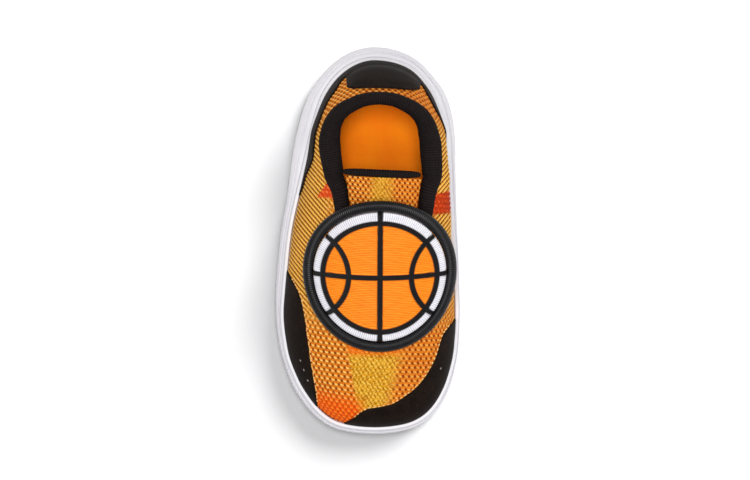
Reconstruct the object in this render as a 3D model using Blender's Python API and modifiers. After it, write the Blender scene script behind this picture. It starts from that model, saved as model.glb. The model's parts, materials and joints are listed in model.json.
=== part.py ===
"""A toddler's slip-on sports shoe for the right foot, as an assembly of its sewn and moulded pieces.

Metres, +Z up. The toe points to +Y, the outer (lateral) side of the foot is +X, and the origin is on the
floor under the middle of the sole. Every curved piece is worked out from one surface, the outside of the
upper over its last. A girth angle runs round that surface: 0 at the toe, 90 on the lateral side, 180 at the
heel and 270 on the medial side. A share runs up it: 0 at the feather line, where upper and sole meet, and 1
at the top line, which is the collar's edge behind the throat and the ridge of the vamp in front of it.
"""

import math
from collections import namedtuple

import bmesh
import bpy
import numpy as np

MM = 0.001

# Driving dimensions
UPPER_LENGTH = 129.1 * MM
UPPER_HEEL = -62.2 * MM
BALL_WIDTH = 61.4 * MM
UPPER_WALL = 2.2 * MM
SEAT_GAP = 0.3 * MM
SET_DOWN = (-2.45 * MM, -1.35 * MM, 0.0)
LIP_WALL = 1.5 * MM
OVERLAY_WALL = 0.9 * MM
INSOLE_WALL = 2.8 * MM
TONGUE_WALL = 3.0 * MM
BINDING_RADIUS = 1.7 * MM

# Sampling: girth steps round the shoe, steps up the upper's wall and steps across the sole
GIRTH_STEPS = 72
WALL_STEPS = 11
ACROSS_STEPS = 4
WELD = 1e-6

# Half-widths of the feather line, as shares of the ball width
Outline = namedtuple("Outline", "station medial lateral")
OUTLINE = (
    Outline(0.000, 0.000, 0.000),
    Outline(0.022, 0.190, 0.148),
    Outline(0.051, 0.259, 0.219),
    Outline(0.102, 0.326, 0.287),
    Outline(0.213, 0.387, 0.356),
    Outline(0.309, 0.406, 0.404),
    Outline(0.389, 0.417, 0.444),
    Outline(0.468, 0.428, 0.478),
    Outline(0.611, 0.457, 0.511),
    Outline(0.691, 0.462, 0.523),
    Outline(0.787, 0.451, 0.501),
    Outline(0.866, 0.415, 0.445),
    Outline(0.920, 0.366, 0.378),
    Outline(0.962, 0.296, 0.300),
    Outline(0.987, 0.205, 0.211),
    Outline(1.000, 0.000, 0.000),
)

# Heights of the sole in millimetres: feather line, lip above it, and the tread's rise off the floor
Level = namedtuple("Level", "station feather lip tread_medial tread_lateral")
LEVELS = (
    Level(0.00, 17.0, 4.2, 1.6, 1.6),
    Level(0.05, 17.0, 4.0, 0.0, 0.0),
    Level(0.20, 16.6, 3.8, 0.0, 0.0),
    Level(0.32, 15.9, 3.6, 0.0, 0.0),
    Level(0.48, 14.5, 3.5, 2.8, 1.6),
    Level(0.61, 13.2, 3.5, 0.0, 0.0),
    Level(0.80, 13.0, 3.6, 0.0, 0.0),
    Level(0.90, 14.2, 4.0, 1.7, 1.7),
    Level(1.00, 16.4, 4.8, 6.0, 6.0),
)

# The sole's wall in millimetres: how far it swells past the lip, and how far the tread's edge draws in
Swell = namedtuple("Swell", "station medial lateral undercut")
SWELLS = (
    Swell(0.00, 3.5, 3.5, 3.4),
    Swell(0.05, 2.9, 3.5, 3.0),
    Swell(0.12, 3.7, 4.2, 2.6),
    Swell(0.21, 3.1, 4.5, 2.3),
    Swell(0.30, 2.2, 3.8, 2.0),
    Swell(0.40, 1.7, 2.5, 2.0),
    Swell(0.50, 1.3, 2.3, 2.0),
    Swell(0.62, 0.6, 2.2, 2.0),
    Swell(0.70, 0.5, 1.7, 2.0),
    Swell(0.80, 0.8, 1.7, 2.4),
    Swell(0.90, 1.4, 2.2, 4.0),
    Swell(1.00, 2.2, 2.2, 7.4),
)

# The top line in millimetres: its shift along the shoe from the feather line, its middle and half-gap across,
# and its height off the floor. The gap closes at the front of the throat.
Top = namedtuple("Top", "station shift across gap height")
TOPS = (
    Top(0.000, 9.1, -1.0, 0.0, 53.0),
    Top(0.020, 8.2, -1.0, 9.1, 52.8),
    Top(0.050, 6.6, -1.0, 13.7, 52.1),
    Top(0.100, 3.7, -1.1, 17.5, 50.3),
    Top(0.160, 1.3, -1.2, 20.1, 48.4),
    Top(0.220, -0.3, -1.5, 21.2, 47.3),
    Top(0.300, -0.2, -2.5, 20.3, 47.2),
    Top(0.346, -0.1, -2.8, 18.0, 47.9),
    Top(0.400, 0.0, -2.8, 16.8, 48.5),
    Top(0.440, 0.1, -2.7, 16.0, 48.8),
    Top(0.480, 0.2, -2.5, 14.6, 48.8),
    Top(0.510, 0.1, -2.4, 11.8, 48.7),
    Top(0.528, 0.0, -2.3, 7.5, 48.7),
    Top(0.536, -0.1, -2.3, 0.0, 48.6),
    Top(0.600, -1.2, -2.0, 0.0, 46.5),
    Top(0.700, -3.7, -1.5, 0.0, 43.0),
    Top(0.800, -7.1, -0.9, 0.0, 39.8),
    Top(0.900, -12.1, -0.4, 0.0, 36.9),
    Top(0.950, -15.2, -0.2, 0.0, 35.7),
    Top(0.980, -17.2, -0.1, 0.0, 35.0),
    Top(1.000, -18.3, 0.0, 0.0, 34.5),
)

THROAT_FRONT = 0.536

# How a section of the upper rises: lean outwards at the feather line and rise at the top line, both in degrees,
# and how long each end holds its direction, as a share of the section
Rise = namedtuple("Rise", "station lean hold_low climb hold_high")
RISES = (
    Rise(0.00, 13.0, 0.42, 62.0, 0.34),
    Rise(0.12, 7.0, 0.40, 68.0, 0.34),
    Rise(0.25, 4.0, 0.40, 66.0, 0.34),
    Rise(0.36, 4.0, 0.46, 44.0, 0.40),
    Rise(0.46, 4.0, 0.55, 20.0, 0.50),
    Rise(0.54, 4.0, 0.60, 0.0, 0.58),
    Rise(0.70, 4.0, 0.61, 0.0, 0.60),
    Rise(0.88, 5.0, 0.60, 0.0, 0.55),
    Rise(1.00, 5.0, 0.62, 0.0, 0.58),
)

# The padded collar in millimetres: its width across the opening, the rise of its roll and its depth inside
Pad = namedtuple("Pad", "station width roll depth")
PADS = (
    Pad(0.00, 4.5, 3.2, 12.0),
    Pad(0.10, 6.0, 3.0, 11.0),
    Pad(0.16, 6.9, 2.9, 10.5),
    Pad(0.22, 7.5, 2.9, 10.0),
    Pad(0.29, 6.9, 2.7, 8.0),
    Pad(0.36, 5.4, 2.4, 6.0),
    Pad(0.40, 5.0, 2.0, 5.2),
    Pad(0.46, 4.8, 0.9, 4.0),
    Pad(0.49, 4.4, 0.6, 3.6),
)
COLLAR_ENDS = 0.49

# The tongue in millimetres: place along the shoe, height of its top face, half-width and drop of its edges
Fold = namedtuple("Fold", "along height half_width drop")
TONGUE = (
    Fold(16.0, 42.2, 8.0, 1.2),
    Fold(7.4, 45.2, 8.6, 1.6),
    Fold(0.4, 48.2, 9.2, 1.8),
    Fold(-5.6, 50.8, 10.2, 2.1),
    Fold(-11.6, 53.2, 11.3, 2.5),
    Fold(-17.6, 55.2, 12.2, 2.9),
    Fold(-23.4, 56.6, 13.0, 3.2),
)
TONGUE_ACROSS = -2.6 * MM
TONGUE_ROUND = 12

# Overlays: girth angle in degrees, and the shares of the wall, counted from just above the sole's lip, between
# which the overlay lies
Edge = namedtuple("Edge", "girth low high")
TOE_GUARD = (
    Edge(-66, 0.00, 0.04),
    Edge(-64, 0.00, 0.25),
    Edge(-60, 0.00, 0.37),
    Edge(-50, 0.00, 0.43),
    Edge(-40, 0.00, 0.49),
    Edge(-30, 0.00, 0.56),
    Edge(-20, 0.00, 0.61),
    Edge(-8, 0.00, 0.62),
    Edge(3, 0.00, 0.59),
    Edge(7, 0.00, 0.50),
    Edge(9, 0.00, 0.32),
    Edge(11, 0.00, 0.04),
)
SIDE_GUARD = (
    Edge(27, 0.00, 0.04),
    Edge(30, 0.00, 0.16),
    Edge(34, 0.00, 0.26),
    Edge(40, 0.00, 0.34),
    Edge(48, 0.00, 0.40),
    Edge(57, 0.00, 0.43),
    Edge(64, 0.00, 0.43),
    Edge(70, 0.00, 0.40),
    Edge(75, 0.00, 0.34),
    Edge(79, 0.00, 0.23),
    Edge(82, 0.00, 0.04),
)
HEEL_COUNTER = (
    Edge(106, 0.00, 0.06),
    Edge(109, 0.00, 0.22),
    Edge(113, 0.00, 0.33),
    Edge(117, 0.00, 0.57),
    Edge(121, 0.00, 0.77),
    Edge(127, 0.00, 0.86),
    Edge(133, 0.00, 0.86),
    Edge(140, 0.00, 0.78),
    Edge(147, 0.00, 0.68),
    Edge(154, 0.00, 0.57),
    Edge(159, 0.00, 0.43),
    Edge(180, 0.00, 0.45),
    Edge(207, 0.00, 0.43),
    Edge(213, 0.00, 0.61),
    Edge(220, 0.00, 0.68),
    Edge(227, 0.00, 0.58),
    Edge(233, 0.00, 0.30),
    Edge(237, 0.00, 0.06),
)
HEEL_TAB = (
    Edge(161, 0.50, 0.76),
    Edge(165, 0.485, 0.86),
    Edge(173, 0.468, 0.93),
    Edge(182, 0.467, 0.95),
    Edge(191, 0.467, 0.92),
    Edge(200, 0.48, 0.81),
    Edge(205, 0.50, 0.66),
)
OVERLAY_STEPS = 4
OVERLAY_SEAT = 0.4 * MM
LIP_CLEARANCE = 0.5 * MM

# The sewn badge: a stiff round patch bent over the vamp as a piece of a cylinder
BADGE_RADIUS = 27.0 * MM
BADGE_STRETCH = 1.06
BADGE_BORDER = 3.8 * MM
BADGE_WALL = 2.2 * MM
BADGE_BEND = 56.0 * MM
BADGE_SLOPE = math.radians(19.1)
BADGE_MIDDLE = (-1.4 * MM, 10.6 * MM, 48.5 * MM)
BADGE_SPOKES = 36
BADGE_RINGS = 3

# The tread: flex grooves across the sole, as shares of the upper's length, and one along it
GROOVE_STATIONS = (0.10, 0.18, 0.26, 0.63, 0.69, 0.75, 0.81)
GROOVE_WIDTH = 2.0 * MM
GROOVE_DEPTH = 1.8 * MM
GROOVE_SPAN = 90.0 * MM
MIDDLE_GROOVE_WIDTH = 3.0 * MM
MIDDLE_GROOVES = ((0.05, 0.31), (0.58, 0.86))

# Colours, as linear values
ORANGE_MESH = (0.83, 0.33, 0.025)
BRIGHT_ORANGE = (0.93, 0.24, 0.006)
BLACK_KNIT = (0.012, 0.011, 0.013)
BLACK_FILM = (0.016, 0.012, 0.011)
WHITE_FOAM = (0.86, 0.86, 0.87)


def curve_through(knots, values, at, level_ends=True):
    """A smooth curve through a table's values that never swings past them, level at its ends or not."""
    span = np.diff(knots)
    rate = np.diff(values) / span
    slope = np.zeros(len(values))
    if not level_ends:
        slope[0], slope[-1] = rate[0], rate[-1]
    product = rate[:-1] * rate[1:]
    total = np.where(product > 0, rate[:-1] + rate[1:], 1.0)
    slope[1:-1] = np.where(product > 0, 2 * product / total, 0.0)
    i = np.clip(np.searchsorted(knots, at) - 1, 0, len(span) - 1)
    t = (at - knots[i]) / span[i]
    blend = t * t * (3 - 2 * t)
    swing = span[i] * (slope[i] * t * (1 - t) ** 2 - slope[i + 1] * t * t * (1 - t))
    return values[i] * (1 - blend) + values[i + 1] * blend + swing


def station_angle(station):
    """Stations along the shoe as angles, so that curves of them close in round ends at heel and toe."""
    return np.arccos(np.clip(1 - 2 * np.asarray(station, float), -1, 1))


def read(table, column, station):
    """A column of a table at any station along the shoe. Only a width runs into heel and toe with a slope."""
    knots = station_angle([row.station for row in table])
    values = np.array([getattr(row, column) for row in table], float)
    angle = np.clip(station_angle(station), knots[0], knots[-1])
    return curve_through(knots, values, angle, level_ends=not (table is OUTLINE or column == "gap"))


def read_side(table, medial, lateral, girth):
    """A medial or a lateral column, by the side of the shoe that the girth angle is on."""
    station = station_of(girth)
    on_lateral = np.sin(girth) >= 0
    return np.where(on_lateral, read(table, lateral, station), read(table, medial, station))


def station_of(girth):
    return (1 + np.cos(girth)) / 2


def side_of(girth):
    return np.where(np.sin(girth) >= 0, 1.0, -1.0)


def girth_of(station):
    """The lateral girth angle of a station."""
    return math.acos(2 * station - 1)


def stacked(x, y, z):
    return np.stack(np.broadcast_arrays(x, y, z), axis=-1)


def feather_line(girth):
    station = station_of(girth)
    half = read_side(OUTLINE, "medial", "lateral", girth) * BALL_WIDTH
    along = UPPER_HEEL + UPPER_LENGTH * station
    return stacked(side_of(girth) * half, along, read(LEVELS, "feather", station) * MM)


def top_line(girth):
    station = station_of(girth)
    across = read(TOPS, "across", station) + side_of(girth) * read(TOPS, "gap", station)
    along = UPPER_HEEL + UPPER_LENGTH * station + read(TOPS, "shift", station) * MM
    return stacked(across * MM, along, read(TOPS, "height", station) * MM)


def level_direction(vectors):
    """Unit directions of these vectors in plan."""
    flat = vectors * np.array([1.0, 1.0, 0.0])
    return flat / np.linalg.norm(flat, axis=-1, keepdims=True)


def ridge_climb(station, inward):
    """The rise with which a section meets the sloping ridge of the vamp, so that the ridge isn't a crease."""
    step = 0.01
    at = np.clip(station, THROAT_FRONT + step, 1.0 - step)
    behind, ahead = at - step, at + step
    drop = (read(TOPS, "height", behind) - read(TOPS, "height", ahead)) * MM
    shift = (read(TOPS, "shift", ahead) - read(TOPS, "shift", behind)) * MM
    slope = drop / (UPPER_LENGTH * (ahead - behind) + shift)
    return np.where(station > THROAT_FRONT, np.arctan(-slope * inward[..., 1]), 0.0)


def upper_surface(girth, share):
    """Points on the outside of the upper. Each section is one cubic from the feather line to the top line."""
    girth, share = np.broadcast_arrays(np.asarray(girth, float), np.asarray(share, float))
    station = station_of(girth)
    low, high = feather_line(girth), top_line(girth)
    inward = level_direction(high - low)
    upward = np.array([0.0, 0.0, 1.0])
    run = np.linalg.norm((high - low)[..., :2], axis=-1)
    rise = (high - low)[..., 2]
    lean = np.radians(read(RISES, "lean", station))
    climb = np.radians(read(RISES, "climb", station)) + ridge_climb(station, inward)
    reach_low = read(RISES, "hold_low", station) * rise
    reach_high = read(RISES, "hold_high", station) * (run * np.cos(climb) + rise * np.sin(climb))
    leaving = upward * np.cos(lean)[..., None] - inward * np.sin(lean)[..., None]
    arriving = inward * np.cos(climb)[..., None] + upward * np.sin(climb)[..., None]
    near_low = low + leaving * reach_low[..., None]
    near_high = high - arriving * reach_high[..., None]
    t = share[..., None]
    return (
        low * (1 - t) ** 3
        + near_low * 3 * t * (1 - t) ** 2
        + near_high * 3 * t * t * (1 - t)
        + high * t**3
    )


def upper_normals(girth, share):
    """Outward unit normals of the upper's surface."""
    step = 1e-4
    low, high = np.clip(share - step, 0, 1), np.clip(share + step, 0, 1)
    up = upper_surface(girth, high) - upper_surface(girth, low)
    round_shoe = upper_surface(girth + step, share) - upper_surface(girth - step, share)
    normal = np.cross(up, round_shoe)
    return normal / np.linalg.norm(normal, axis=-1, keepdims=True)


def girths(first=0.0, last=360.0, count=GIRTH_STEPS):
    return np.radians(np.linspace(first, last, count + 1))


def outline_at(girth, offset, height):
    """The feather line moved outwards in plan by an offset, at a height."""
    step = 1e-4
    ahead = feather_line(girth + step) - feather_line(girth - step)
    outward = level_direction(np.cross(ahead, np.array([0.0, 0.0, 1.0])))
    outward = outward * np.where((outward * feather_line(girth)).sum(-1) < 0, -1.0, 1.0)[..., None]
    place = feather_line(girth) + outward * np.asarray(offset)[..., None]
    return stacked(place[..., 0], place[..., 1], height)


def share_at_height(girth, height):
    """The share of the wall at which the upper's surface reaches a height, by halving."""
    low, high = np.zeros_like(height), np.ones_like(height)
    for _ in range(24):
        middle = (low + high) / 2
        below = upper_surface(girth, middle)[..., 2] < height
        low, high = np.where(below, middle, low), np.where(below, high, middle)
    return (low + high) / 2


def new_object(name, mesh, collection, material):
    thing = bpy.data.objects.new(name, mesh)
    collection.objects.link(thing)
    if material is not None:
        mesh.materials.append(material)
    return thing


def skinned(name, patches, collection, material, smooth_angle=40.0):
    """One object from grids of points: each grid becomes faces, equal points join and open ends are filled."""
    bm = bmesh.new()
    for grid in patches:
        rows = [[bm.verts.new(point) for point in row] for row in grid]
        for row, following in zip(rows, rows[1:]):
            for a, b, c, d in zip(row, row[1:], following[1:], following):
                bm.faces.new((a, b, c, d))
    bmesh.ops.remove_doubles(bm, verts=bm.verts, dist=WELD)
    bmesh.ops.dissolve_degenerate(bm, edges=bm.edges, dist=WELD)
    bmesh.ops.recalc_face_normals(bm, faces=bm.faces)
    mesh = bpy.data.meshes.new(name)
    bm.to_mesh(mesh)
    bm.free()
    mesh.shade_smooth()
    mesh.set_sharp_from_angle(angle=math.radians(smooth_angle))
    return new_object(name, mesh, collection, material)


def fill_ends(thing):
    """Closes the open ends of a tube-like mesh with one face each."""
    bm = bmesh.new()
    bm.from_mesh(thing.data)
    open_edges = [edge for edge in bm.edges if edge.is_boundary]
    bmesh.ops.holes_fill(bm, edges=open_edges)
    bmesh.ops.recalc_face_normals(bm, faces=bm.faces)
    bm.to_mesh(thing.data)
    bm.free()
    return thing


def finish_material(name, colour, roughness):
    material = bpy.data.materials.new(name)
    material.use_nodes = True
    shader = material.node_tree.nodes["Principled BSDF"]
    shader.inputs["Base Color"].default_value = (*colour, 1.0)
    shader.inputs["Roughness"].default_value = roughness
    shader.inputs["Metallic"].default_value = 0.0
    return material


def across_grid(ring_of, crown=0.0):
    """A grid over the shoe's plan between the medial and lateral halves of a ring, with a crown in the middle."""
    girth = girths(0.0, 180.0, GIRTH_STEPS // 2)
    lateral, medial = ring_of(girth), ring_of(-girth)
    rows = []
    for share in np.linspace(0.0, 1.0, ACROSS_STEPS + 1):
        row = medial * (1 - share) + lateral * share
        width = np.linalg.norm(lateral - medial, axis=-1) / BALL_WIDTH
        row[:, 2] += crown * 4 * share * (1 - share) * width
        rows.append(row)
    return np.array(rows)


def tread_height(girth):
    return read_side(LEVELS, "tread_medial", "tread_lateral", girth) * MM


def lip_height(girth):
    station = station_of(girth)
    return (read(LEVELS, "feather", station) + read(LEVELS, "lip", station)) * MM


def footbed_height(girth):
    return read(LEVELS, "feather", station_of(girth)) * MM - SEAT_GAP


def sole_profile(girth):
    """Rings of the sole's outside from the tread's edge, over its ribbed wall and lip, to the footbed."""
    station = station_of(girth)
    tread, lip, footbed = tread_height(girth), lip_height(girth), footbed_height(girth)
    lip_share = share_at_height(girth, lip)
    on_upper = upper_surface(girth, lip_share) - feather_line(girth)
    flare = (on_upper * level_direction(feather_line(girth) - top_line(girth))).sum(-1)
    lip_inside = SEAT_GAP + np.maximum(flare, 0.0)
    lip_outside = lip_inside + LIP_WALL
    wide = lip_outside + read_side(SWELLS, "medial", "lateral", girth) * MM
    edge = wide - read(SWELLS, "undercut", station) * MM
    rise = lip - tread
    bevel, rib, channel = 0.9 * MM, 0.25 * MM, 0.9 * MM
    between = (wide + lip_outside) / 2
    rows = (
        (edge - bevel, tread),
        (edge, tread + 0.09 * rise),
        (wide - rib, tread + 0.30 * rise),
        (wide, tread + 0.44 * rise),
        (wide - rib, tread + 0.54 * rise),
        (wide - channel, tread + 0.58 * rise),
        (between, tread + 0.63 * rise),
        (lip_outside + rib, tread + 0.80 * rise),
        (lip_outside, tread + 0.95 * rise),
        (lip_outside - rib, lip),
        (lip_inside, lip),
        (np.full_like(lip, SEAT_GAP), footbed),
    )
    return [outline_at(girth, offset, height) for offset, height in rows]


def make_sole(collection, material, cutters):
    rings = np.array(sole_profile(girths()))
    tread = across_grid(lambda girth: sole_profile(girth)[0])
    footbed = across_grid(lambda girth: sole_profile(girth)[-1])
    sole = skinned("sole", [rings, tread, footbed], collection, material)
    grooves = sole.modifiers.new("Flex grooves", "BOOLEAN")
    grooves.operation = "DIFFERENCE"
    grooves.operand_type = "COLLECTION"
    grooves.collection = cutters
    return sole


def box_cutter(name, middle, size, cutters):
    bm = bmesh.new()
    bmesh.ops.create_cube(bm, size=1.0)
    bmesh.ops.scale(bm, vec=size, verts=bm.verts)
    bmesh.ops.translate(bm, vec=middle, verts=bm.verts)
    mesh = bpy.data.meshes.new(name)
    bm.to_mesh(mesh)
    bm.free()
    cutter = new_object(name, mesh, cutters, None)
    cutter.hide_render = True
    cutter.display_type = "WIRE"


def make_grooves(cutters):
    """Flex grooves across the tread, and one along the middle of heel and forefoot."""
    tall = 2 * GROOVE_DEPTH
    for number, station in enumerate(GROOVE_STATIONS):
        along = UPPER_HEEL + UPPER_LENGTH * station
        size = (GROOVE_SPAN, GROOVE_WIDTH, tall)
        box_cutter(f"groove_{number}", (0.0, along, 0.0), size, cutters)
    for number, (first, last) in enumerate(MIDDLE_GROOVES):
        along = UPPER_HEEL + UPPER_LENGTH * (first + last) / 2
        size = (MIDDLE_GROOVE_WIDTH, UPPER_LENGTH * (last - first), tall)
        box_cutter(f"middle_groove_{number}", (0.0, along, 0.0), size, cutters)


def make_upper(collection, material):
    girth = girths()
    shares = np.linspace(0.0, 1.0, WALL_STEPS + 1)
    outside = upper_surface(girth[None, :], shares[:, None])
    upper = skinned("upper", [outside], collection, material)
    wall = upper.modifiers.new("Wall", "SOLIDIFY")
    wall.thickness = UPPER_WALL
    wall.offset = -1.0
    wall.use_even_offset = True
    return upper


def make_overlay(name, edges, collection, material):
    """A film overlay on the upper, between its low and high edges, seated a gap off the surface."""
    first, last, step = edges[0].girth, edges[-1].girth, 180.0 / GIRTH_STEPS
    inside = np.arange(math.floor(first / step) + 1, math.ceil(last / step)) * step
    girth = np.radians(np.concatenate(([first], inside, [last])))
    knots = np.radians([edge.girth for edge in edges])
    low = curve_through(knots, np.array([edge.low for edge in edges]), girth, level_ends=False)
    high = curve_through(knots, np.array([edge.high for edge in edges]), girth, level_ends=False)
    at_lip = share_at_height(girth, lip_height(girth) + LIP_CLEARANCE)
    rows = []
    for part in np.linspace(0.0, 1.0, OVERLAY_STEPS + 1):
        rows.append(at_lip + (1 - at_lip) * (low * (1 - part) + high * part))
    share = np.array(rows)
    place, outward = upper_surface(girth, share), upper_normals(girth, share)
    back = place + outward * OVERLAY_SEAT
    face = place + outward * (OVERLAY_SEAT + OVERLAY_WALL)
    rims = [
        np.array([back[0], face[0]]),
        np.array([back[-1], face[-1]]),
        np.array([back[:, 0], face[:, 0]]),
        np.array([back[:, -1], face[:, -1]]),
    ]
    return skinned(name, [back, face, *rims], collection, material)


def collar_section(width, roll, depth):
    """The collar's section, inwards and upwards from the upper's top edge: a roll over it and a pad inside."""
    behind = UPPER_WALL + 0.5 * MM
    return (
        (0.1 * MM, 0.4 * MM),
        (0.3 * MM, 0.55 * roll + 0.2 * MM),
        (0.22 * width, 0.92 * roll),
        (0.48 * width, roll),
        (0.76 * width, 0.72 * roll),
        (0.95 * width, 0.05 * roll),
        (width, -0.35 * depth),
        (0.90 * width, -0.72 * depth),
        (0.70 * width, -0.97 * depth),
        (max(behind, 0.5 * width), -depth),
        (behind, -0.55 * depth),
        (behind, 0.4 * MM),
    )


def make_collar(collection, material):
    """The padded collar, from one side of the throat round the heel to the other."""
    end = math.degrees(girth_of(COLLAR_ENDS))
    girth = girths(end, 360.0 - end, GIRTH_STEPS // 2)
    edge = top_line(girth)
    ahead = np.gradient(edge, axis=0)
    inward = level_direction(np.cross(ahead, np.array([0.0, 0.0, 1.0])))
    station = station_of(girth)
    sizes = [read(PADS, column, station) * MM for column in ("width", "roll", "depth")]
    rings = []
    for point, towards, width, roll, depth in zip(edge, inward, *sizes):
        section = [
            point + towards * inside + np.array([0.0, 0.0, up])
            for inside, up in collar_section(width, roll, depth)
        ]
        rings.append(section + section[:1])
    return fill_ends(skinned("collar", [np.array(rings)], collection, material))


def tongue_ring(fold):
    """One rounded section across the tongue."""
    ring = []
    for corner in range(TONGUE_ROUND):
        angle = 2 * math.pi * (corner + 0.5) / TONGUE_ROUND
        flat = math.copysign(abs(math.cos(angle)) ** 0.6, math.cos(angle))
        thick = math.copysign(abs(math.sin(angle)) ** 0.6, math.sin(angle))
        across = fold.half_width * MM * flat
        sag = fold.drop * MM * flat * flat
        height = fold.height * MM - sag - TONGUE_WALL / 2 + thick * TONGUE_WALL / 2
        ring.append((TONGUE_ACROSS + across, fold.along * MM, height))
    return ring + ring[:1]


def make_tongue(collection, material):
    rings = np.array([tongue_ring(fold) for fold in TONGUE])
    return fill_ends(skinned("tongue", [rings], collection, material))


def make_binding(collection, material):
    """The bound top edge of the tongue, a soft cord of cloth along its last fold."""
    top = TONGUE[-1]
    behind = top.along * MM - BINDING_RADIUS - SEAT_GAP
    rings = []
    for share in np.linspace(-1.0, 1.0, 11):
        across = TONGUE_ACROSS + share * (top.half_width * MM - BINDING_RADIUS / 2)
        height = (top.height - top.drop * share * share) * MM - TONGUE_WALL / 2
        radius = BINDING_RADIUS * (1 - share**6) ** 0.5 + 0.4 * MM * share**6
        turn = np.radians(np.linspace(0.0, 360.0, 11))
        rings.append(stacked(across, behind + radius * np.cos(turn), height + radius * np.sin(turn)))
    return fill_ends(skinned("tongue_binding", [np.array(rings)], collection, material))


def make_insole(collection, material):
    inset = -(UPPER_WALL + 2 * SEAT_GAP)
    edge_round = 0.8 * MM

    def ring(offset, above):
        return lambda girth: outline_at(
            girth, np.full_like(girth, offset), footbed_height(girth) + SEAT_GAP + above
        )

    profile = (
        ring(inset, 0.0),
        ring(inset, INSOLE_WALL - edge_round),
        ring(inset - edge_round, INSOLE_WALL),
    )
    wall = np.array([place(girths()) for place in profile])
    under = across_grid(profile[0])
    over = across_grid(profile[-1], crown=-0.8 * MM)
    return skinned("insole", [wall, under, over], collection, material)


def badge_sheet(radius, angle, above):
    """Points of the badge: polar places on its flat pattern, bent over the vamp, at a height above its back."""
    across, along = radius * np.sin(angle), radius * np.cos(angle) * BADGE_STRETCH
    bend = across / BADGE_BEND
    outward = (BADGE_BEND + above) * np.cos(bend) - BADGE_BEND
    x = BADGE_MIDDLE[0] + (BADGE_BEND + above) * np.sin(bend)
    y = BADGE_MIDDLE[1] + along * math.cos(BADGE_SLOPE) + outward * math.sin(BADGE_SLOPE)
    z = BADGE_MIDDLE[2] - along * math.sin(BADGE_SLOPE) + outward * math.cos(BADGE_SLOPE)
    return stacked(x, y, z)


def make_badge(collection, material, border_material):
    """The badge's embroidered field, and the corded border round it."""
    angle = np.radians(np.linspace(0.0, 360.0, BADGE_SPOKES + 1))
    field = BADGE_RADIUS - BADGE_BORDER - SEAT_GAP
    radii = np.linspace(0.0, field, BADGE_RINGS + 1)
    back = np.array([badge_sheet(radius, angle, 0.0) for radius in radii])
    face = np.array([badge_sheet(radius, angle, BADGE_WALL) for radius in radii])
    side = np.array([back[-1], face[-1]])
    skinned("badge_field", [back, face, side], collection, material)

    middle = BADGE_RADIUS - BADGE_BORDER / 2
    half_tall = 1.6 * MM
    rings = []
    for turn in np.radians(np.linspace(0.0, 360.0, 9)):
        radius = middle + BADGE_BORDER / 2 * math.cos(turn)
        above = half_tall + half_tall * math.sin(turn)
        rings.append(badge_sheet(radius, angle, above))
    skinned("badge_border", [np.array(rings)], collection, border_material)


def set_down(collections):
    """Hangs every piece and cutter on one empty, which moves the last's middle line to the middle of the sole."""
    origin = bpy.data.objects.new("shoe_origin", None)
    collections[0].objects.link(origin)
    for collection in collections:
        for thing in collection.objects:
            if thing is not origin:
                thing.parent = origin
    origin.location = SET_DOWN


def clear_scene():
    for thing in list(bpy.data.objects):
        bpy.data.objects.remove(thing, do_unlink=True)


def main():
    clear_scene()
    scene = bpy.context.scene
    shoe = bpy.data.collections.new("slip_on_shoe")
    cutters = bpy.data.collections.new("cutters")
    scene.collection.children.link(shoe)
    scene.collection.children.link(cutters)

    mesh_cloth = finish_material("mesh_cloth", ORANGE_MESH, 0.85)
    lining = finish_material("insole_cloth", BRIGHT_ORANGE, 0.8)
    knit = finish_material("black_knit", BLACK_KNIT, 0.9)
    film = finish_material("black_film", BLACK_FILM, 0.35)
    foam = finish_material("white_foam", WHITE_FOAM, 0.5)
    thread = finish_material("badge_thread", BRIGHT_ORANGE, 0.6)
    border_thread = finish_material("border_thread", BLACK_KNIT, 0.55)

    make_grooves(cutters)
    make_sole(shoe, foam, cutters)
    make_insole(shoe, lining)
    make_upper(shoe, mesh_cloth)
    make_overlay("toe_guard", TOE_GUARD, shoe, film)
    make_overlay("side_guard", SIDE_GUARD, shoe, film)
    make_overlay("heel_counter", HEEL_COUNTER, shoe, film)
    make_overlay("heel_tab", HEEL_TAB, shoe, film)
    make_collar(shoe, knit)
    make_tongue(shoe, mesh_cloth)
    make_binding(shoe, knit)
    make_badge(shoe, thread, border_thread)
    set_down((shoe, cutters))


main()
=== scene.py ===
"""Looks of the toddler's slip-on sports shoe, right foot, on a plain pale floor.

The shoe is worked out again from the sizes of its last, at a finer sampling than the solids have, and each
piece takes the place of its solid. Metres, +Z up, toe to +Y, lateral side to +X. A station is a share of the
upper's length from heel to toe, and a girth is an angle round the shoe from the toe. A share of the wall
counts from the feather line, where the upper meets the sole, to the top line. Flat coordinates, in
millimetres, unroll the upper outwards from its top line, so that the knit runs over vamp and sides without a
break.
"""
import json
import math
from collections import namedtuple
from contextlib import contextmanager

import bmesh
import bpy
import numpy as np
from mathutils import Matrix, Vector

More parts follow.
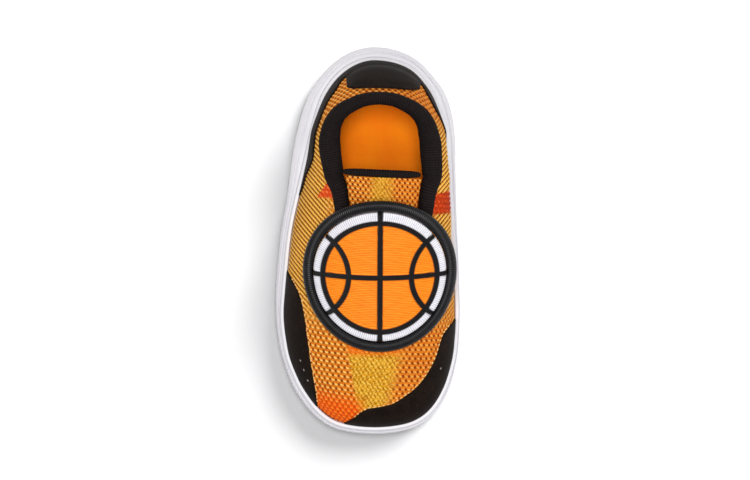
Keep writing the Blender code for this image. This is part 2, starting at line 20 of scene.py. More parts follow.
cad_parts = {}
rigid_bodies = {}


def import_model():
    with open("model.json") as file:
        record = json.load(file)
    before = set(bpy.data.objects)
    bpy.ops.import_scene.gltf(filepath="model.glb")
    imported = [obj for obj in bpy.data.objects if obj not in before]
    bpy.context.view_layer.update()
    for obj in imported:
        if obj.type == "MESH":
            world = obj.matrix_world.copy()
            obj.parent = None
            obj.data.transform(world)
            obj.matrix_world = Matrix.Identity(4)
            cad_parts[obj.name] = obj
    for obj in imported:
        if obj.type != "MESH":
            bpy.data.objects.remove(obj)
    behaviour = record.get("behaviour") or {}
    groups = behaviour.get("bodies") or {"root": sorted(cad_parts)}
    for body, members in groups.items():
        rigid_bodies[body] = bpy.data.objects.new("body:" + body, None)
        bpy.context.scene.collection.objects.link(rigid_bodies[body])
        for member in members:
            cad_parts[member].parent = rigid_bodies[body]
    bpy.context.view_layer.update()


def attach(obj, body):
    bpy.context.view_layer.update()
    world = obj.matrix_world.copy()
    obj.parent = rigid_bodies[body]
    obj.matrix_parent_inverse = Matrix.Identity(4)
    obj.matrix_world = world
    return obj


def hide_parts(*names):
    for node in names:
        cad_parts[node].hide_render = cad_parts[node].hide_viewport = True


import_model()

MM = 0.001
UP = np.array([0.0, 0.0, 1.0])
# From the frame of the last to the frame of the part
SET_DOWN = np.array([-2.45, -1.35, 0.0]) * MM


def table(columns, *rows):
    """Rows of numbers with named columns."""
    row = namedtuple("Row", columns)
    return [row(*numbers) for numbers in rows]


def guard(*edges):
    """An overlay from the sole's lip up, by girth in degrees and the share of the wall that it reaches."""
    return table("girth low high", *((girth, 0.0, high) for girth, high in edges))


# Sizes of the last and of the walls over it
UPPER_LENGTH = 129.1 * MM
UPPER_HEEL = -62.2 * MM
BALL_WIDTH = 61.4 * MM
UPPER_WALL = 2.2 * MM
SEAT_GAP = 0.3 * MM
LIP_WALL = 1.5 * MM
LIP_CLEARANCE = 0.2 * MM
INSOLE_WALL = 2.8 * MM
INSOLE_HOLLOW = 0.8 * MM
TONGUE_WALL = 3.0 * MM
BINDING_RADIUS = 1.7 * MM
COLLAR_ENDS = 0.49

# The front of the throat, the stations over which the walls beside it are eased, and how far round that looks
THROAT_FRONT = 0.536
EASE_RISE = (0.40, 0.46)
EASE_FALL = (0.68, 0.62)
EASE_TURN = 0.12
EASE_SAMPLES = 11

# Half-widths of the feather line, as shares of the ball width
OUTLINE = table(
    "station medial lateral",
    (0.000, 0.000, 0.000), (0.022, 0.190, 0.148), (0.051, 0.259, 0.219), (0.102, 0.326, 0.287),
    (0.213, 0.387, 0.356), (0.309, 0.406, 0.404), (0.389, 0.417, 0.444), (0.468, 0.428, 0.478),
    (0.611, 0.457, 0.511), (0.691, 0.462, 0.523), (0.787, 0.451, 0.501), (0.866, 0.415, 0.445),
    (0.920, 0.366, 0.378), (0.962, 0.296, 0.300), (0.987, 0.205, 0.211), (1.000, 0.000, 0.000),
)

# Heights of the sole in millimetres: feather line, lip above it, and the tread's rise off the floor
LEVELS = table(
    "station feather lip tread_medial tread_lateral",
    (0.00, 17.0, 4.2, 1.6, 1.6), (0.05, 17.0, 4.0, 0.0, 0.0), (0.20, 16.6, 3.8, 0.0, 0.0),
    (0.32, 15.9, 3.6, 0.0, 0.0), (0.48, 14.5, 3.5, 2.8, 1.6), (0.61, 13.2, 3.5, 0.0, 0.0),
    (0.80, 13.0, 3.6, 0.0, 0.0), (0.90, 14.2, 4.0, 1.7, 1.7), (1.00, 16.4, 4.8, 6.0, 6.0),
)

# The sole's wall in millimetres: how far it swells past the lip, and how far the tread's edge draws in
SWELLS = table(
    "station medial lateral undercut",
    (0.00, 3.5, 3.5, 3.4), (0.05, 2.9, 3.5, 3.0), (0.12, 3.7, 4.2, 2.6), (0.21, 3.1, 4.5, 2.3),
    (0.30, 2.2, 3.8, 2.0), (0.40, 1.7, 2.5, 2.0), (0.50, 1.3, 2.3, 2.0), (0.62, 0.6, 2.2, 2.0),
    (0.70, 0.5, 1.7, 2.0), (0.80, 0.8, 1.7, 2.4), (0.90, 1.4, 2.2, 4.0), (1.00, 2.2, 2.2, 7.4),
)

# The top line in millimetres: its shift along the shoe from the feather line, its middle and half-gap across,
# and its height off the floor. The gap closes at the front of the throat.
TOPS = table(
    "station shift across gap height",
    (0.000, 9.1, -1.0, 0.0, 53.0), (0.020, 8.2, -1.0, 9.1, 52.8), (0.050, 6.6, -1.0, 13.7, 52.1),
    (0.100, 3.7, -1.1, 17.5, 50.3), (0.160, 1.3, -1.2, 20.1, 48.4), (0.220, -0.3, -1.5, 21.2, 47.3),
    (0.300, -0.2, -2.5, 20.3, 47.2), (0.346, -0.1, -2.8, 18.0, 47.9), (0.400, 0.0, -2.8, 16.8, 48.5),
    (0.440, 0.1, -2.7, 16.0, 48.8), (0.480, 0.2, -2.5, 14.6, 48.8), (0.510, 0.1, -2.4, 11.8, 48.7),
    (0.528, 0.0, -2.3, 7.5, 48.7), (0.536, -0.1, -2.3, 0.0, 48.6), (0.600, -1.2, -2.0, 0.0, 46.5),
    (0.700, -3.7, -1.5, 0.0, 43.0), (0.800, -7.1, -0.9, 0.0, 39.8), (0.900, -12.1, -0.4, 0.0, 36.9),
    (0.950, -15.2, -0.2, 0.0, 35.7), (0.980, -17.2, -0.1, 0.0, 35.0), (1.000, -18.3, 0.0, 0.0, 34.5),
)

# How a section of the upper rises: lean outwards at the feather line and climb at the top line, in degrees,
# and how long each end holds its direction, as a share of the section
RISES = table(
    "station lean hold_low climb hold_high",
    (0.00, 13.0, 0.42, 62.0, 0.34), (0.12, 7.0, 0.40, 68.0, 0.34), (0.25, 4.0, 0.40, 66.0, 0.34),
    (0.36, 4.0, 0.46, 44.0, 0.40), (0.46, 4.0, 0.55, 20.0, 0.50), (0.54, 4.0, 0.60, 0.0, 0.58),
    (0.70, 4.0, 0.61, 0.0, 0.60), (0.88, 5.0, 0.60, 0.0, 0.55), (1.00, 5.0, 0.62, 0.0, 0.58),
)

# The padded collar in millimetres: its width across the opening, the rise of its roll and its depth inside
PADS = table(
    "station width roll depth",
    (0.00, 4.5, 3.2, 12.0), (0.10, 6.0, 3.0, 11.0), (0.16, 6.9, 2.9, 10.5), (0.22, 7.5, 2.9, 10.0),
    (0.29, 6.9, 2.7, 8.0), (0.36, 5.4, 2.4, 6.0), (0.40, 5.0, 2.0, 5.2), (0.46, 4.8, 0.9, 4.0),
    (0.49, 4.4, 0.6, 3.6),
)

# The tongue in millimetres: place along the shoe, height of its top face, half-width and drop of its edges
TONGUE = table(
    "along height half_width drop",
    (16.0, 42.2, 8.0, 1.2), (7.4, 45.2, 8.6, 1.6), (0.4, 48.2, 9.2, 1.8), (-5.6, 50.8, 10.2, 2.1),
    (-11.6, 53.2, 11.3, 2.5), (-17.6, 55.2, 12.2, 2.9), (-23.4, 56.6, 13.0, 3.2),
)
TONGUE_ACROSS = -2.6 * MM
TONGUE_SLANT = -0.045
BINDING_SHIFT = 0.7 * MM
BINDING_HALF = 13.6 * MM

# Film overlays: their wall, seat off the knit and rounded edge, and the run over which a crown rises. Their
# shares of the wall are counted from just above the sole's lip.
FILM_WALL = 0.45 * MM
FILM_SEAT = 0.14 * MM
FILM_ROUND = 0.5 * MM
FILM_BACK = 0.1 * MM
CROWN_RUN = 5.0 * MM
TOE_GUARD = guard(
    (-66, 0.04), (-64, 0.25), (-60, 0.37), (-50, 0.43), (-40, 0.49), (-30, 0.56), (-20, 0.61), (-8, 0.62),
    (3, 0.59), (7, 0.50), (9, 0.32), (11, 0.04),
)
SIDE_GUARD = guard(
    (27, 0.04), (30, 0.16), (34, 0.26), (40, 0.34), (48, 0.40), (57, 0.43), (64, 0.43), (70, 0.40),
    (75, 0.34), (79, 0.23), (82, 0.04),
)
HEEL_COUNTER = guard(
    (106, 0.06), (109, 0.22), (113, 0.33), (117, 0.57), (121, 0.77), (127, 0.86), (133, 0.86), (140, 0.78),
    (147, 0.68), (154, 0.57), (159, 0.43), (180, 0.45), (207, 0.43), (213, 0.61), (220, 0.68), (227, 0.58),
    (233, 0.30), (237, 0.06),
)
HEEL_TAB = table(
    "girth low high",
    (161, 0.50, 0.76), (165, 0.485, 0.86), (173, 0.468, 0.93), (182, 0.467, 0.95), (191, 0.467, 0.92),
    (200, 0.48, 0.81), (205, 0.50, 0.66),
)

# Vent holes in the film guards
SIDE_VENTS = table("girth share", (50.5, 0.29), (46.3, 0.287), (41.2, 0.271))
TOE_VENTS = table("girth share", (-46.8, 0.316))
VENT_RADIUS = 0.42 * MM
VENT_DOME = 0.12 * MM

# The stitches that hold the film's edge down, and the share of the wall by which they lie above it.
# Each takes its direction from the places within its reach.
STITCH_LENGTH = 1.05 * MM
STITCH_PITCH = 1.7 * MM
STITCH_RADIUS = 0.26 * MM
STITCH_ABOVE = 0.012
STITCH_SEAT = 0.1 * MM
STITCH_REACH = 0.3 * MM

# The sewn badge: a stiff round patch bent over the vamp as a piece of a cylinder, with a corded border
BADGE_RADIUS = 27.0 * MM
BADGE_STRETCH = 1.06
BADGE_WALL = 2.2 * MM
BADGE_BEND = 56.0 * MM
BADGE_SLOPE = math.radians(19.1)
BADGE_MIDDLE = (-1.4 * MM, 10.6 * MM, 48.5 * MM)
BORDER_WIDTH = 3.8 * MM
BORDER_HALF_HEIGHT = 1.6 * MM
BORDER_THREADS = 230
THREAD_RIDGE = 0.10 * MM

# The badge's design, in millimetres on the flat patch: a ball with seams inside a ring
BALL_RADIUS = 19.4
SEAM_HALF = 0.95
SEAM_ARC_CENTRE = 27.0
SEAM_ARC_RADIUS = 16.5

# The tread's flex grooves
GROOVE_STATIONS = (0.10, 0.18, 0.26, 0.63, 0.69, 0.75, 0.81)
GROOVE_WIDTH = 2.0 * MM
GROOVE_DEPTH = 1.8 * MM
GROOVE_SPAN = 90.0 * MM
MIDDLE_GROOVE_WIDTH = 3.0 * MM
MIDDLE_GROOVES = ((0.05, 0.31), (0.58, 0.86))

# The knit, in millimetres: its cell across and along, how far a row slants per cell and a stitch within its
# cell, the pitch and slant of the lines on the sides and the pitch of the beads along them, how much finer the
# gold is, and the relief and the share of it that is sunk in
CELL_ACROSS = 2.25
CELL_ALONG = 1.68
CELL_SLANT = 0.10
STITCH_SLANT = 0.35
LINE_PITCH = 1.75
LINE_SLANT = 1.05
BEAD_PITCH = 1.2
GOLD_FINENESS = 1.3
KNIT_RELIEF = 0.2 * MM
KNIT_SUNK = 0.4

# How finely the pieces are sampled, and the distance at which points are one
UPPER_COLUMNS = 1000
UPPER_ROWS = 90
LINING_COLUMNS = 200
LINING_ROWS = 18
OVERLAY_ROWS = 24
OVERLAY_COLUMNS_LEAST = 48
OVERLAY_COLUMNS_PER_DEGREE = 1.6
SOLE_COLUMNS = 360
INSOLE_COLUMNS = 240
COLLAR_COLUMNS = 220
STEPS_PER_THREAD = 5
JOIN_WITHIN = 1e-6


# Shape of the last


def curve_through(knots, values, at, level_ends=True):
    """A smooth curve through a table's values that never swings past them, level at its ends or not."""
    span = np.diff(knots)
    rate = np.diff(values) / span
    slope = np.zeros(len(values))
    if not level_ends:
        slope[0], slope[-1] = rate[0], rate[-1]
    product = rate[:-1] * rate[1:]
    total = np.where(product > 0, rate[:-1] + rate[1:], 1.0)
    slope[1:-1] = np.where(product > 0, 2 * product / total, 0.0)
    i = np.clip(np.searchsorted(knots, at) - 1, 0, len(span) - 1)
    t = (at - knots[i]) / span[i]
    blend = t * t * (3 - 2 * t)
    swing = span[i] * (slope[i] * t * (1 - t) ** 2 - slope[i + 1] * t * t * (1 - t))
    return values[i] * (1 - blend) + values[i + 1] * blend + swing


def smoothstep(low, high, value):
    t = np.clip((value - low) / (high - low), 0.0, 1.0)
    return t * t * (3 - 2 * t)


def band(value, rise, fall):
    """A share between two soft edges, each of them from where it is 0 to where it is 1."""
    return smoothstep(*rise, value) * smoothstep(*fall, value)


def rounded(distance, radius):
    """A quarter-round edge: 0 at the edge and 1 from a radius inwards."""
    t = np.clip(distance / radius, 0.0, 1.0)
    return np.sqrt(1 - (1 - t) ** 2)


def stacked(*parts):
    """Places from their coordinates."""
    return np.stack(np.broadcast_arrays(*parts), axis=-1)


def unit(vectors):
    return vectors / np.linalg.norm(vectors, axis=-1, keepdims=True)


def level_direction(vectors):
    """Unit directions of these vectors in plan."""
    return unit(vectors * np.array([1.0, 1.0, 0.0]))


def length_along(points):
    """The length of a row of points, counted up from its first one."""
    return np.concatenate([[0.0], np.cumsum(np.linalg.norm(np.diff(points, axis=0), axis=-1))])


def full_turn(steps):
    return np.linspace(0.0, math.tau, steps + 1)


def girths(first, last, count):
    return np.radians(np.linspace(first, last, count + 1))


def station_of(girth):
    return (1 + np.cos(girth)) / 2


def side_of(girth):
    return np.where(np.sin(girth) >= 0, 1.0, -1.0)


def station_angle(station):
    """Stations along the shoe as angles, so that curves of them close in round ends at heel and toe."""
    return np.arccos(np.clip(1 - 2 * np.asarray(station, float), -1, 1))


def column(rows, name):
    return np.array([getattr(row, name) for row in rows], float)


def read(rows, name, station):
    """A column of a table at any station along the shoe. Only a width runs into heel and toe with a slope."""
    knots = station_angle(column(rows, "station"))
    angle = np.clip(station_angle(station), knots[0], knots[-1])
    return curve_through(knots, column(rows, name), angle, level_ends=not (rows is OUTLINE or name == "gap"))


def read_side(rows, medial, lateral, girth):
    """A medial or a lateral column, by the side of the shoe that the girth is on."""
    station = station_of(girth)
    return np.where(np.sin(girth) >= 0, read(rows, lateral, station), read(rows, medial, station))


def read_edge(edges, name, girth):
    """A column of an overlay's edges at any girth."""
    return curve_through(np.radians(column(edges, "girth")), column(edges, name), girth, level_ends=False)


def feather_line(girth):
    station = station_of(girth)
    half = read_side(OUTLINE, "medial", "lateral", girth) * BALL_WIDTH
    along = UPPER_HEEL + UPPER_LENGTH * station
    return stacked(side_of(girth) * half, along, read(LEVELS, "feather", station) * MM)


def top_line(girth):
    station = station_of(girth)
    across = read(TOPS, "across", station) + side_of(girth) * read(TOPS, "gap", station)
    along = UPPER_HEEL + UPPER_LENGTH * station + read(TOPS, "shift", station) * MM
    return stacked(across * MM, along, read(TOPS, "height", station) * MM)


def ridge_climb(station, inward):
    """The rise with which a section meets the sloping ridge of the vamp, so that the ridge isn't a crease."""
    step = 0.01
    at = np.clip(station, THROAT_FRONT + step, 1.0 - step)
    behind, ahead = at - step, at + step
    drop = (read(TOPS, "height", behind) - read(TOPS, "height", ahead)) * MM
    shift = (read(TOPS, "shift", ahead) - read(TOPS, "shift", behind)) * MM
    slope = drop / (UPPER_LENGTH * (ahead - behind) + shift)
    return np.where(station > THROAT_FRONT, np.arctan(-slope * inward[..., 1]), 0.0)


def upper_section(girth, share):
    """Points on the sections of the upper. Each is one cubic from the feather line to the top line."""
    station = station_of(girth)
    low, high = feather_line(girth), top_line(girth)
    inward = level_direction(high - low)
    run = np.linalg.norm((high - low)[..., :2], axis=-1)
    rise = (high - low)[..., 2]
    lean = np.radians(read(RISES, "lean", station))
    climb = np.radians(read(RISES, "climb", station)) + ridge_climb(station, inward)
    reach_low = read(RISES, "hold_low", station) * rise
    reach_high = read(RISES, "hold_high", station) * (run * np.cos(climb) + rise * np.sin(climb))
    leaving = UP * np.cos(lean)[..., None] - inward * np.sin(lean)[..., None]
    arriving = inward * np.cos(climb)[..., None] + UP * np.sin(climb)[..., None]
    near_low = low + leaving * reach_low[..., None]
    near_high = high - arriving * reach_high[..., None]
    t = share[..., None]
    return (
        low * (1 - t) ** 3
        + near_low * 3 * t * (1 - t) ** 2
        + near_high * 3 * t * t * (1 - t)
        + high * t**3
    )


def upper_surface(girth, share):
    """Points on the outside of the upper, eased along the shoe where the gap of the throat closes."""
    girth, share = np.broadcast_arrays(np.asarray(girth, float), np.asarray(share, float))
    place = upper_section(girth, share)
    eased = band(station_of(girth), EASE_RISE, EASE_FALL) * (1 - share**4)
    near = eased > 0
    turns = np.linspace(-1.0, 1.0, EASE_SAMPLES + 2)[1:-1]
    weights = 1 + np.cos(math.pi * turns)
    sections = [upper_section(girth[near] + EASE_TURN * turn, share[near]) for turn in turns]
    mean = np.average(sections, axis=0, weights=weights)
    place[near] += (mean - place[near]) * eased[near][..., None]
    return place


def upper_normals(girth, share):
    """Outward unit normals of the upper's surface."""
    step = 1e-4
    low, high = np.clip(share - step, 0, 1), np.clip(share + step, 0, 1)
    up = upper_surface(girth, high) - upper_surface(girth, low)
    round_shoe = upper_surface(girth + step, share) - upper_surface(girth - step, share)
    return unit(np.cross(up, round_shoe))


def flat_of_upper(girth, shares):
    """Flat coordinates in millimetres of a grid on the upper, unrolled outwards from the top line."""
    fine = np.linspace(0.0, 1.0, 101)
    curve = upper_surface(girth[None, :], fine[:, None])
    steps = np.linalg.norm(np.diff(curve, axis=0), axis=-1)
    below_top = np.concatenate([np.cumsum(steps[::-1], axis=0)[::-1], np.zeros((1, len(girth)))])
    high = top_line(girth)
    outward = level_direction(feather_line(girth) - high)
    length = np.stack([np.interp(shares, fine, lengths) for lengths in below_top.T], axis=1)
    return (high[None, :, :2] + outward[None, :, :2] * length[..., None]) / MM


def outline_at(girth, offset, height):
    """The feather line moved outwards in plan by an offset, at a height."""
    step = 1e-4
    line = feather_line(girth)
    outward = level_direction(np.cross(feather_line(girth + step) - feather_line(girth - step), UP))
    outward = outward * np.where((outward * line).sum(-1) < 0, -1.0, 1.0)[..., None]
    place = line + outward * np.asarray(offset)[..., None]
    return stacked(place[..., 0], place[..., 1], height)


def lip_height(girth):
    station = station_of(girth)
    return (read(LEVELS, "feather", station) + read(LEVELS, "lip", station)) * MM


def footbed_height(girth):
    return read(LEVELS, "feather", station_of(girth)) * MM - SEAT_GAP


def share_at_height(girth, height):
    """The share of the wall at which the upper's surface reaches a height, by halving."""
    low, high = np.zeros_like(height), np.ones_like(height)
    for _ in range(24):
        middle = (low + high) / 2
        below = upper_surface(girth, middle)[..., 2] < height
        low, high = np.where(below, middle, low), np.where(below, high, middle)
    return (low + high) / 2


def above_lip(girth, share):
    """Shares of the whole wall from shares that are counted from just above the sole's lip."""
    at_lip = share_at_height(girth, lip_height(girth) + LIP_CLEARANCE)
    return at_lip + (1 - at_lip) * share


# Meshes


Patch = namedtuple("Patch", "points flat", defaults=(None,))


def strip(first, second):
    """A strip between two rows of points."""
    return Patch(np.array([first, second]))


@contextmanager
def editing(mesh):
    """A mesh while its faces are edited. Its normals face outwards afterwards."""
    bm = bmesh.new()
    bm.from_mesh(mesh)
    yield bm
    bmesh.ops.recalc_face_normals(bm, faces=bm.faces)
    bm.to_mesh(mesh)
    bm.free()


def shaded(mesh, smooth_angle=50.0):
    """Smooth shading that leaves edges sharper than an angle in degrees."""
    mesh.shade_smooth()
    mesh.set_sharp_from_angle(angle=math.radians(smooth_angle))
    return mesh


def grid_mesh(name, patches, smooth_angle=50.0):
    """One mesh from grids of points. Equal points join and normals face outwards. A grid that brings no flat
    coordinates takes those in plan.
    """
    points, faces, flats, start = [], [], [], 0
    for grid, flat in patches:
        rows, columns = grid.shape[:2]
        index = np.arange(rows * columns).reshape(rows, columns) + start
        quads = np.stack([index[:-1, :-1], index[:-1, 1:], index[1:, 1:], index[1:, :-1]], axis=-1)
        points.append(grid.reshape(-1, 3) + SET_DOWN)
        faces.append(quads.reshape(-1, 4))
        flats.append((grid[..., :2] / MM if flat is None else flat).reshape(-1, 2))
        start += rows * columns
    points, faces, flats = np.concatenate(points), np.concatenate(faces), np.concatenate(flats)
    mesh = bpy.data.meshes.new(name)
    mesh.from_pydata(points, [], faces)
    corners = flats[faces.reshape(-1)].astype(np.float32)
    mesh.uv_layers.new(name="flat").data.foreach_set("uv", corners.ravel())
    with editing(mesh) as bm:
        bmesh.ops.remove_doubles(bm, verts=bm.verts, dist=JOIN_WITHIN)
        bmesh.ops.dissolve_degenerate(bm, edges=bm.edges, dist=JOIN_WITHIN)
    return shaded(mesh, smooth_angle)


def filled(mesh):
    """Closes the open ends of a tube."""
    with editing(mesh) as bm:
        bmesh.ops.holes_fill(bm, edges=[edge for edge in bm.edges if edge.is_boundary])
    return mesh


def lined(mesh, lining):
    """Joins a cloth and the lining inside it, both open sheets, along their lower and upper rims."""
    between_rims = 30.0 * MM
    with editing(mesh) as bm:
        bm.from_mesh(lining)
        rims = [edge for edge in bm.edges if edge.is_boundary]
        for low in (True, False):
            loops = [edge for edge in rims if (edge.verts[0].co.z < between_rims) == low]
            bmesh.ops.bridge_loops(bm, edges=loops)
    return shaded(mesh)


def gathered(items, name, width, kind=np.float32):
    """A value of each item of a mesh, as rows."""
    values = np.zeros(len(items) * width, kind)
    items.foreach_get(name, values)
    return values.reshape(-1, width)


def vertex_flats(mesh):
    """Flat coordinates of each vertex."""
    flat = np.zeros((len(mesh.vertices), 2))
    corners = gathered(mesh.loops, "vertex_index", 1, np.int32)[:, 0]
    flat[corners] = gathered(mesh.uv_layers["flat"].data, "uv", 2)
    return flat


def lift(mesh, amount):
    """Moves each vertex along its normal."""
    places, normals = gathered(mesh.vertices, "co", 3), gathered(mesh.vertex_normals, "vector", 3)
    mesh.vertices.foreach_set("co", (places + normals * amount[:, None]).ravel())
    mesh.update()


def add_zone(mesh, name, values):
    """Keeps a number for each vertex, for the material to read."""
    zone = mesh.attributes.new(name, "FLOAT", "POINT")
    zone.data.foreach_set("value", np.asarray(values, np.float32))


def add_piece(name, mesh, finish, node=None):
    """A piece of the shoe on its body, standing for its solid."""
    piece = bpy.data.objects.new(name, mesh)
    bpy.context.scene.collection.objects.link(piece)
    mesh.materials.append(finish)
    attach(piece, "root")
    if node is not None:
        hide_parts(node)
    return piece


# Materials


def linear(code):
    """A colour code as linear values."""
    parts = np.array([int(code[i : i + 2], 16) for i in (1, 3, 5)]) / 255.0
    values = np.where(parts <= 0.04045, parts / 12.92, ((parts + 0.055) / 1.055) ** 2.4)
    return (*values, 1.0)


class Value:
    """What a node gives. Arithmetic with it and the calls below add nodes to its material."""

    def __init__(self, finish, socket):
        self.finish = finish
        self.socket = socket

    def __add__(self, other):
        return self.math("ADD", other)

    def __sub__(self, other):
        return self.math("SUBTRACT", other)

    def __mul__(self, other):
        return self.math("MULTIPLY", other)

    def __truediv__(self, number):
        return self * (1 / number)

    def math(self, operation, *others):
        return self.finish.node("Math", 0, dict(enumerate((self, *others))), operation=operation)

    def wave(self):
        """A cosine of this number of turns."""
        return (self * math.tau).math("COSINE")

    def between(self, low, high):
        """A soft step from 0 at low to 1 at high."""
        inputs = dict(enumerate((self, low, high, 0.0, 1.0)))
        return self.finish.node("MapRange", 0, inputs, interpolation_type="SMOOTHSTEP")

    def mix(self, first, second):
        """Two numbers, mixed by this share."""
        return self.finish.node("Mix", 0, {0: self, 2: first, 3: second}, data_type="FLOAT")

    def blend(self, first, second):
        """Two colours, mixed by this share."""
        return self.finish.node("Mix", 2, {0: self, 6: first, 7: second}, data_type="RGBA")

    def ramp(self, *stops):
        """Colours by this value, between stops of a position and a colour code each."""
        colour = self.finish.node("ValToRGB", "Color", {"Fac": self})
        elements = colour.socket.node.color_ramp.elements
        while len(elements) < len(stops):
            elements.new(0.5)
        for element, (position, code) in zip(elements, stops):
            element.position = position
            element.color = linear(code)
        return colour


class Finish:
    """A Principled material, with short calls that add nodes to it."""

    def __init__(self, name, roughness=0.5, specular=0.5):
        self.material = bpy.data.materials.new(name)
        self.material.use_nodes = True
        self.tree = self.material.node_tree
        self.set("Roughness", roughness)
        self.set("Specular IOR Level", specular)

    def set(self, name, value):
        self.give(self.tree.nodes["Principled BSDF"].inputs[name], value)

    def give(self, socket, value):
        """A node's value, a colour code or a number on a socket."""
        if isinstance(value, Value):
            self.tree.links.new(value.socket, socket)
        else:
            socket.default_value = linear(value) if isinstance(value, str) else value

    def node(self, kind, output, inputs, **settings):
        """A new node's output, from its inputs by name or number and its settings."""
        node = self.tree.nodes.new("ShaderNode" + kind)
        for name, setting in settings.items():
            setattr(node, name, setting)
        for socket, value in inputs.items():
            self.give(node.inputs[socket], value)
        return Value(self, node.outputs[output])

    def flat(self):
        """Flat coordinates in millimetres, across and along."""
        place = self.node("UVMap", "UV", {}, uv_map="flat")
        return [self.node("SeparateXYZ", axis, {0: place}) for axis in (0, 1)]

    def point(self, x, y):
        return self.node("CombineXYZ", 0, {0: x, 1: y})

    def zone(self, name):
        return self.node("Attribute", "Fac", {}, attribute_name=name)

    def noise(self, scale, detail=2.0, vector=None, roughness=0.5):
        """Noise by place on the object, or at a vector."""
        if vector is None:
            vector = self.node("TexCoord", "Object", {})
        inputs = {"Vector": vector, "Scale": scale, "Detail": detail, "Roughness": roughness}
        return self.node("TexNoise", "Fac", inputs)

    def clouds(self, scale, detail, *stops):
        """Soft clouds of colour all over, and their noise."""
        cloud = self.noise(scale, detail)
        self.set("Base Color", cloud.ramp(*stops))
        return cloud

    def bump(self, height, distance, strength):
        inputs = {"Height": height, "Distance": distance, "Strength": strength}
        self.set("Normal", self.node("Bump", "Normal", inputs))


def oval(across, along, half_across, half_along):
    """0 in the middle of an oval and 1 on its rim."""
    across, along = across / half_across, along / half_along
    return across * across + along * along


def stitches(across, along, fineness):
    """Shares of a knit's stitches and of the holes between them, laid like bricks."""
    rows = (along + across * (CELL_SLANT * CELL_ALONG / CELL_ACROSS)) * (fineness / CELL_ALONG)
    row = (rows + 0.5).math("FLOOR")
    step = across * (fineness / CELL_ACROSS) + row * 0.5
    from_stitch = (step + 0.5).math("FRACT") - 0.5
    from_hole = step.math("FRACT") - 0.5
    from_row = rows - row
    slanted = from_row + from_stitch * STITCH_SLANT
    stitch = oval(from_stitch, slanted, 0.36, 0.30).between(1.25, 0.35)
    hole = oval(from_hole, from_row, 0.20, 0.36).between(1.3, 0.4)
    return stitch, hole


def mesh_finish(name, fineness, depth):
    """Knitted mesh: orange with pale stitches and dark holes, gold in the middle, lined on the sides."""
    finish = Finish(name, roughness=0.85, specular=0.06)
    across, along = finish.flat()
    side, gold, open_knit = finish.zone("side"), finish.zone("gold"), finish.zone("open_knit")
    cloth = finish.point(across, along)
    fleck = finish.noise(1.6, 2.0, cloth) - 0.5
    cloud = finish.noise(0.22, 3.0, cloth)
    sway = (finish.noise(0.5, 2.0, cloth) - 0.5) * 3.4

    stitch, hole = stitches(across, along, fineness)
    pale = stitch * (open_knit.mix(0.85, 0.42) + fleck)
    dark = hole * depth * open_knit.mix(0.78, 0.92)
    ground = (cloud + fleck).ramp((0.2, "#BE5A12"), (0.5, "#D27018"), (0.8, "#E08426"))
    knit = dark.blend(pale.blend(ground, "#FBC468"), open_knit.blend("#6A3208", "#7E2E08"))

    line_turns = finish.zone("line") / LINE_PITCH + sway * 0.06
    beads = (across / BEAD_PITCH + line_turns * 0.5).wave()
    lines = line_turns.wave() * 0.75 + beads * 0.2 + fleck * 0.5
    straw = (lines * 0.5 + 0.5).ramp(
        (0.02, "#4A2204"), (0.22, "#8E500C"), (0.4, "#DC962A"), (0.7, "#F0B04A"), (1.0, "#FBD078")
    )

    strand, gap = stitches(across + sway, along + sway * -0.8, GOLD_FINENESS * fineness)
    golden = (cloud + fleck).ramp((0.2, "#BA7A14"), (0.5, "#CE9020"), (0.8, "#DCA432"))
    golden = (gap * 0.75).blend((strand * 0.65).blend(golden, "#F0C858"), "#8E560E")

    red = stitch * 0.4 + fleck + 0.4 + open_knit * -0.35
    coral = red.ramp((0.05, "#AC360E"), (0.3, "#CE421A"), (0.55, "#E05420"), (1.0, "#EE7E44"))
    # Red-orange: the knit's own colour at the lateral toe corner, and painted shade of the badge in a band
    # just under its lower edge
    glow = stitch * 0.5 + fleck + 0.3
    ember_and_badge_shade = glow.ramp((0.1, "#E04E08"), (0.5, "#F0640E"), (1.0, "#FF9038"))
    ember_and_badge_shade = (hole * 0.4).blend(ember_and_badge_shade, "#A83404")

    colour = gold.blend(side.blend(knit, straw), golden)
    colour = finish.zone("ember_and_badge_shade").blend(colour, ember_and_badge_shade)
    finish.set("Base Color", finish.zone("coral").blend(colour, coral))
    relief = gold.mix(side.mix(stitch - hole, lines), (strand - gap) * 0.6)
    finish.bump(relief, 0.25 * MM, 0.7)
    return finish.material


def film_finish(name, matt):
    """Pressed black film with a fine grain and a little brown in its clouds, more or less matt."""
    finish = Finish(name, specular=0.035)
    grain = finish.noise(1500.0, 3.0)
    cloud = finish.noise(160.0, 4.0, roughness=0.65)
    speck = finish.noise(1300.0, 1.0).between(0.62, 0.8)
    base = cloud.ramp((0.35, "#150F0C"), (0.55, "#1C1410"), (0.75, "#261B15"))
    finish.set("Base Color", (speck * 0.3).blend(base, "#4C392E"))
    finish.set("Roughness", cloud * 0.2 + grain * 0.1 + matt)
    finish.bump(grain, 0.06 * MM, 0.5)
    return finish.material


def collar_finish():
    """Black knit over foam, with fine ribs across the band."""
    finish = Finish("collar_knit", roughness=0.95, specular=0.12)
    across, along = finish.flat()
    rib = (across / 0.9).wave()
    loop = (along / 1.1 + rib * 0.25).wave()
    height = rib * 0.6 + loop * 0.4
    level = height * 0.3 + finish.noise(700.0, 2.0) * 0.4 + 0.3
    finish.set("Base Color", level.ramp((0.1, "#0C0909"), (0.55, "#1B1515"), (1.0, "#2E2626")))
    finish.bump(height, 0.18 * MM, 0.8)
    return finish.material


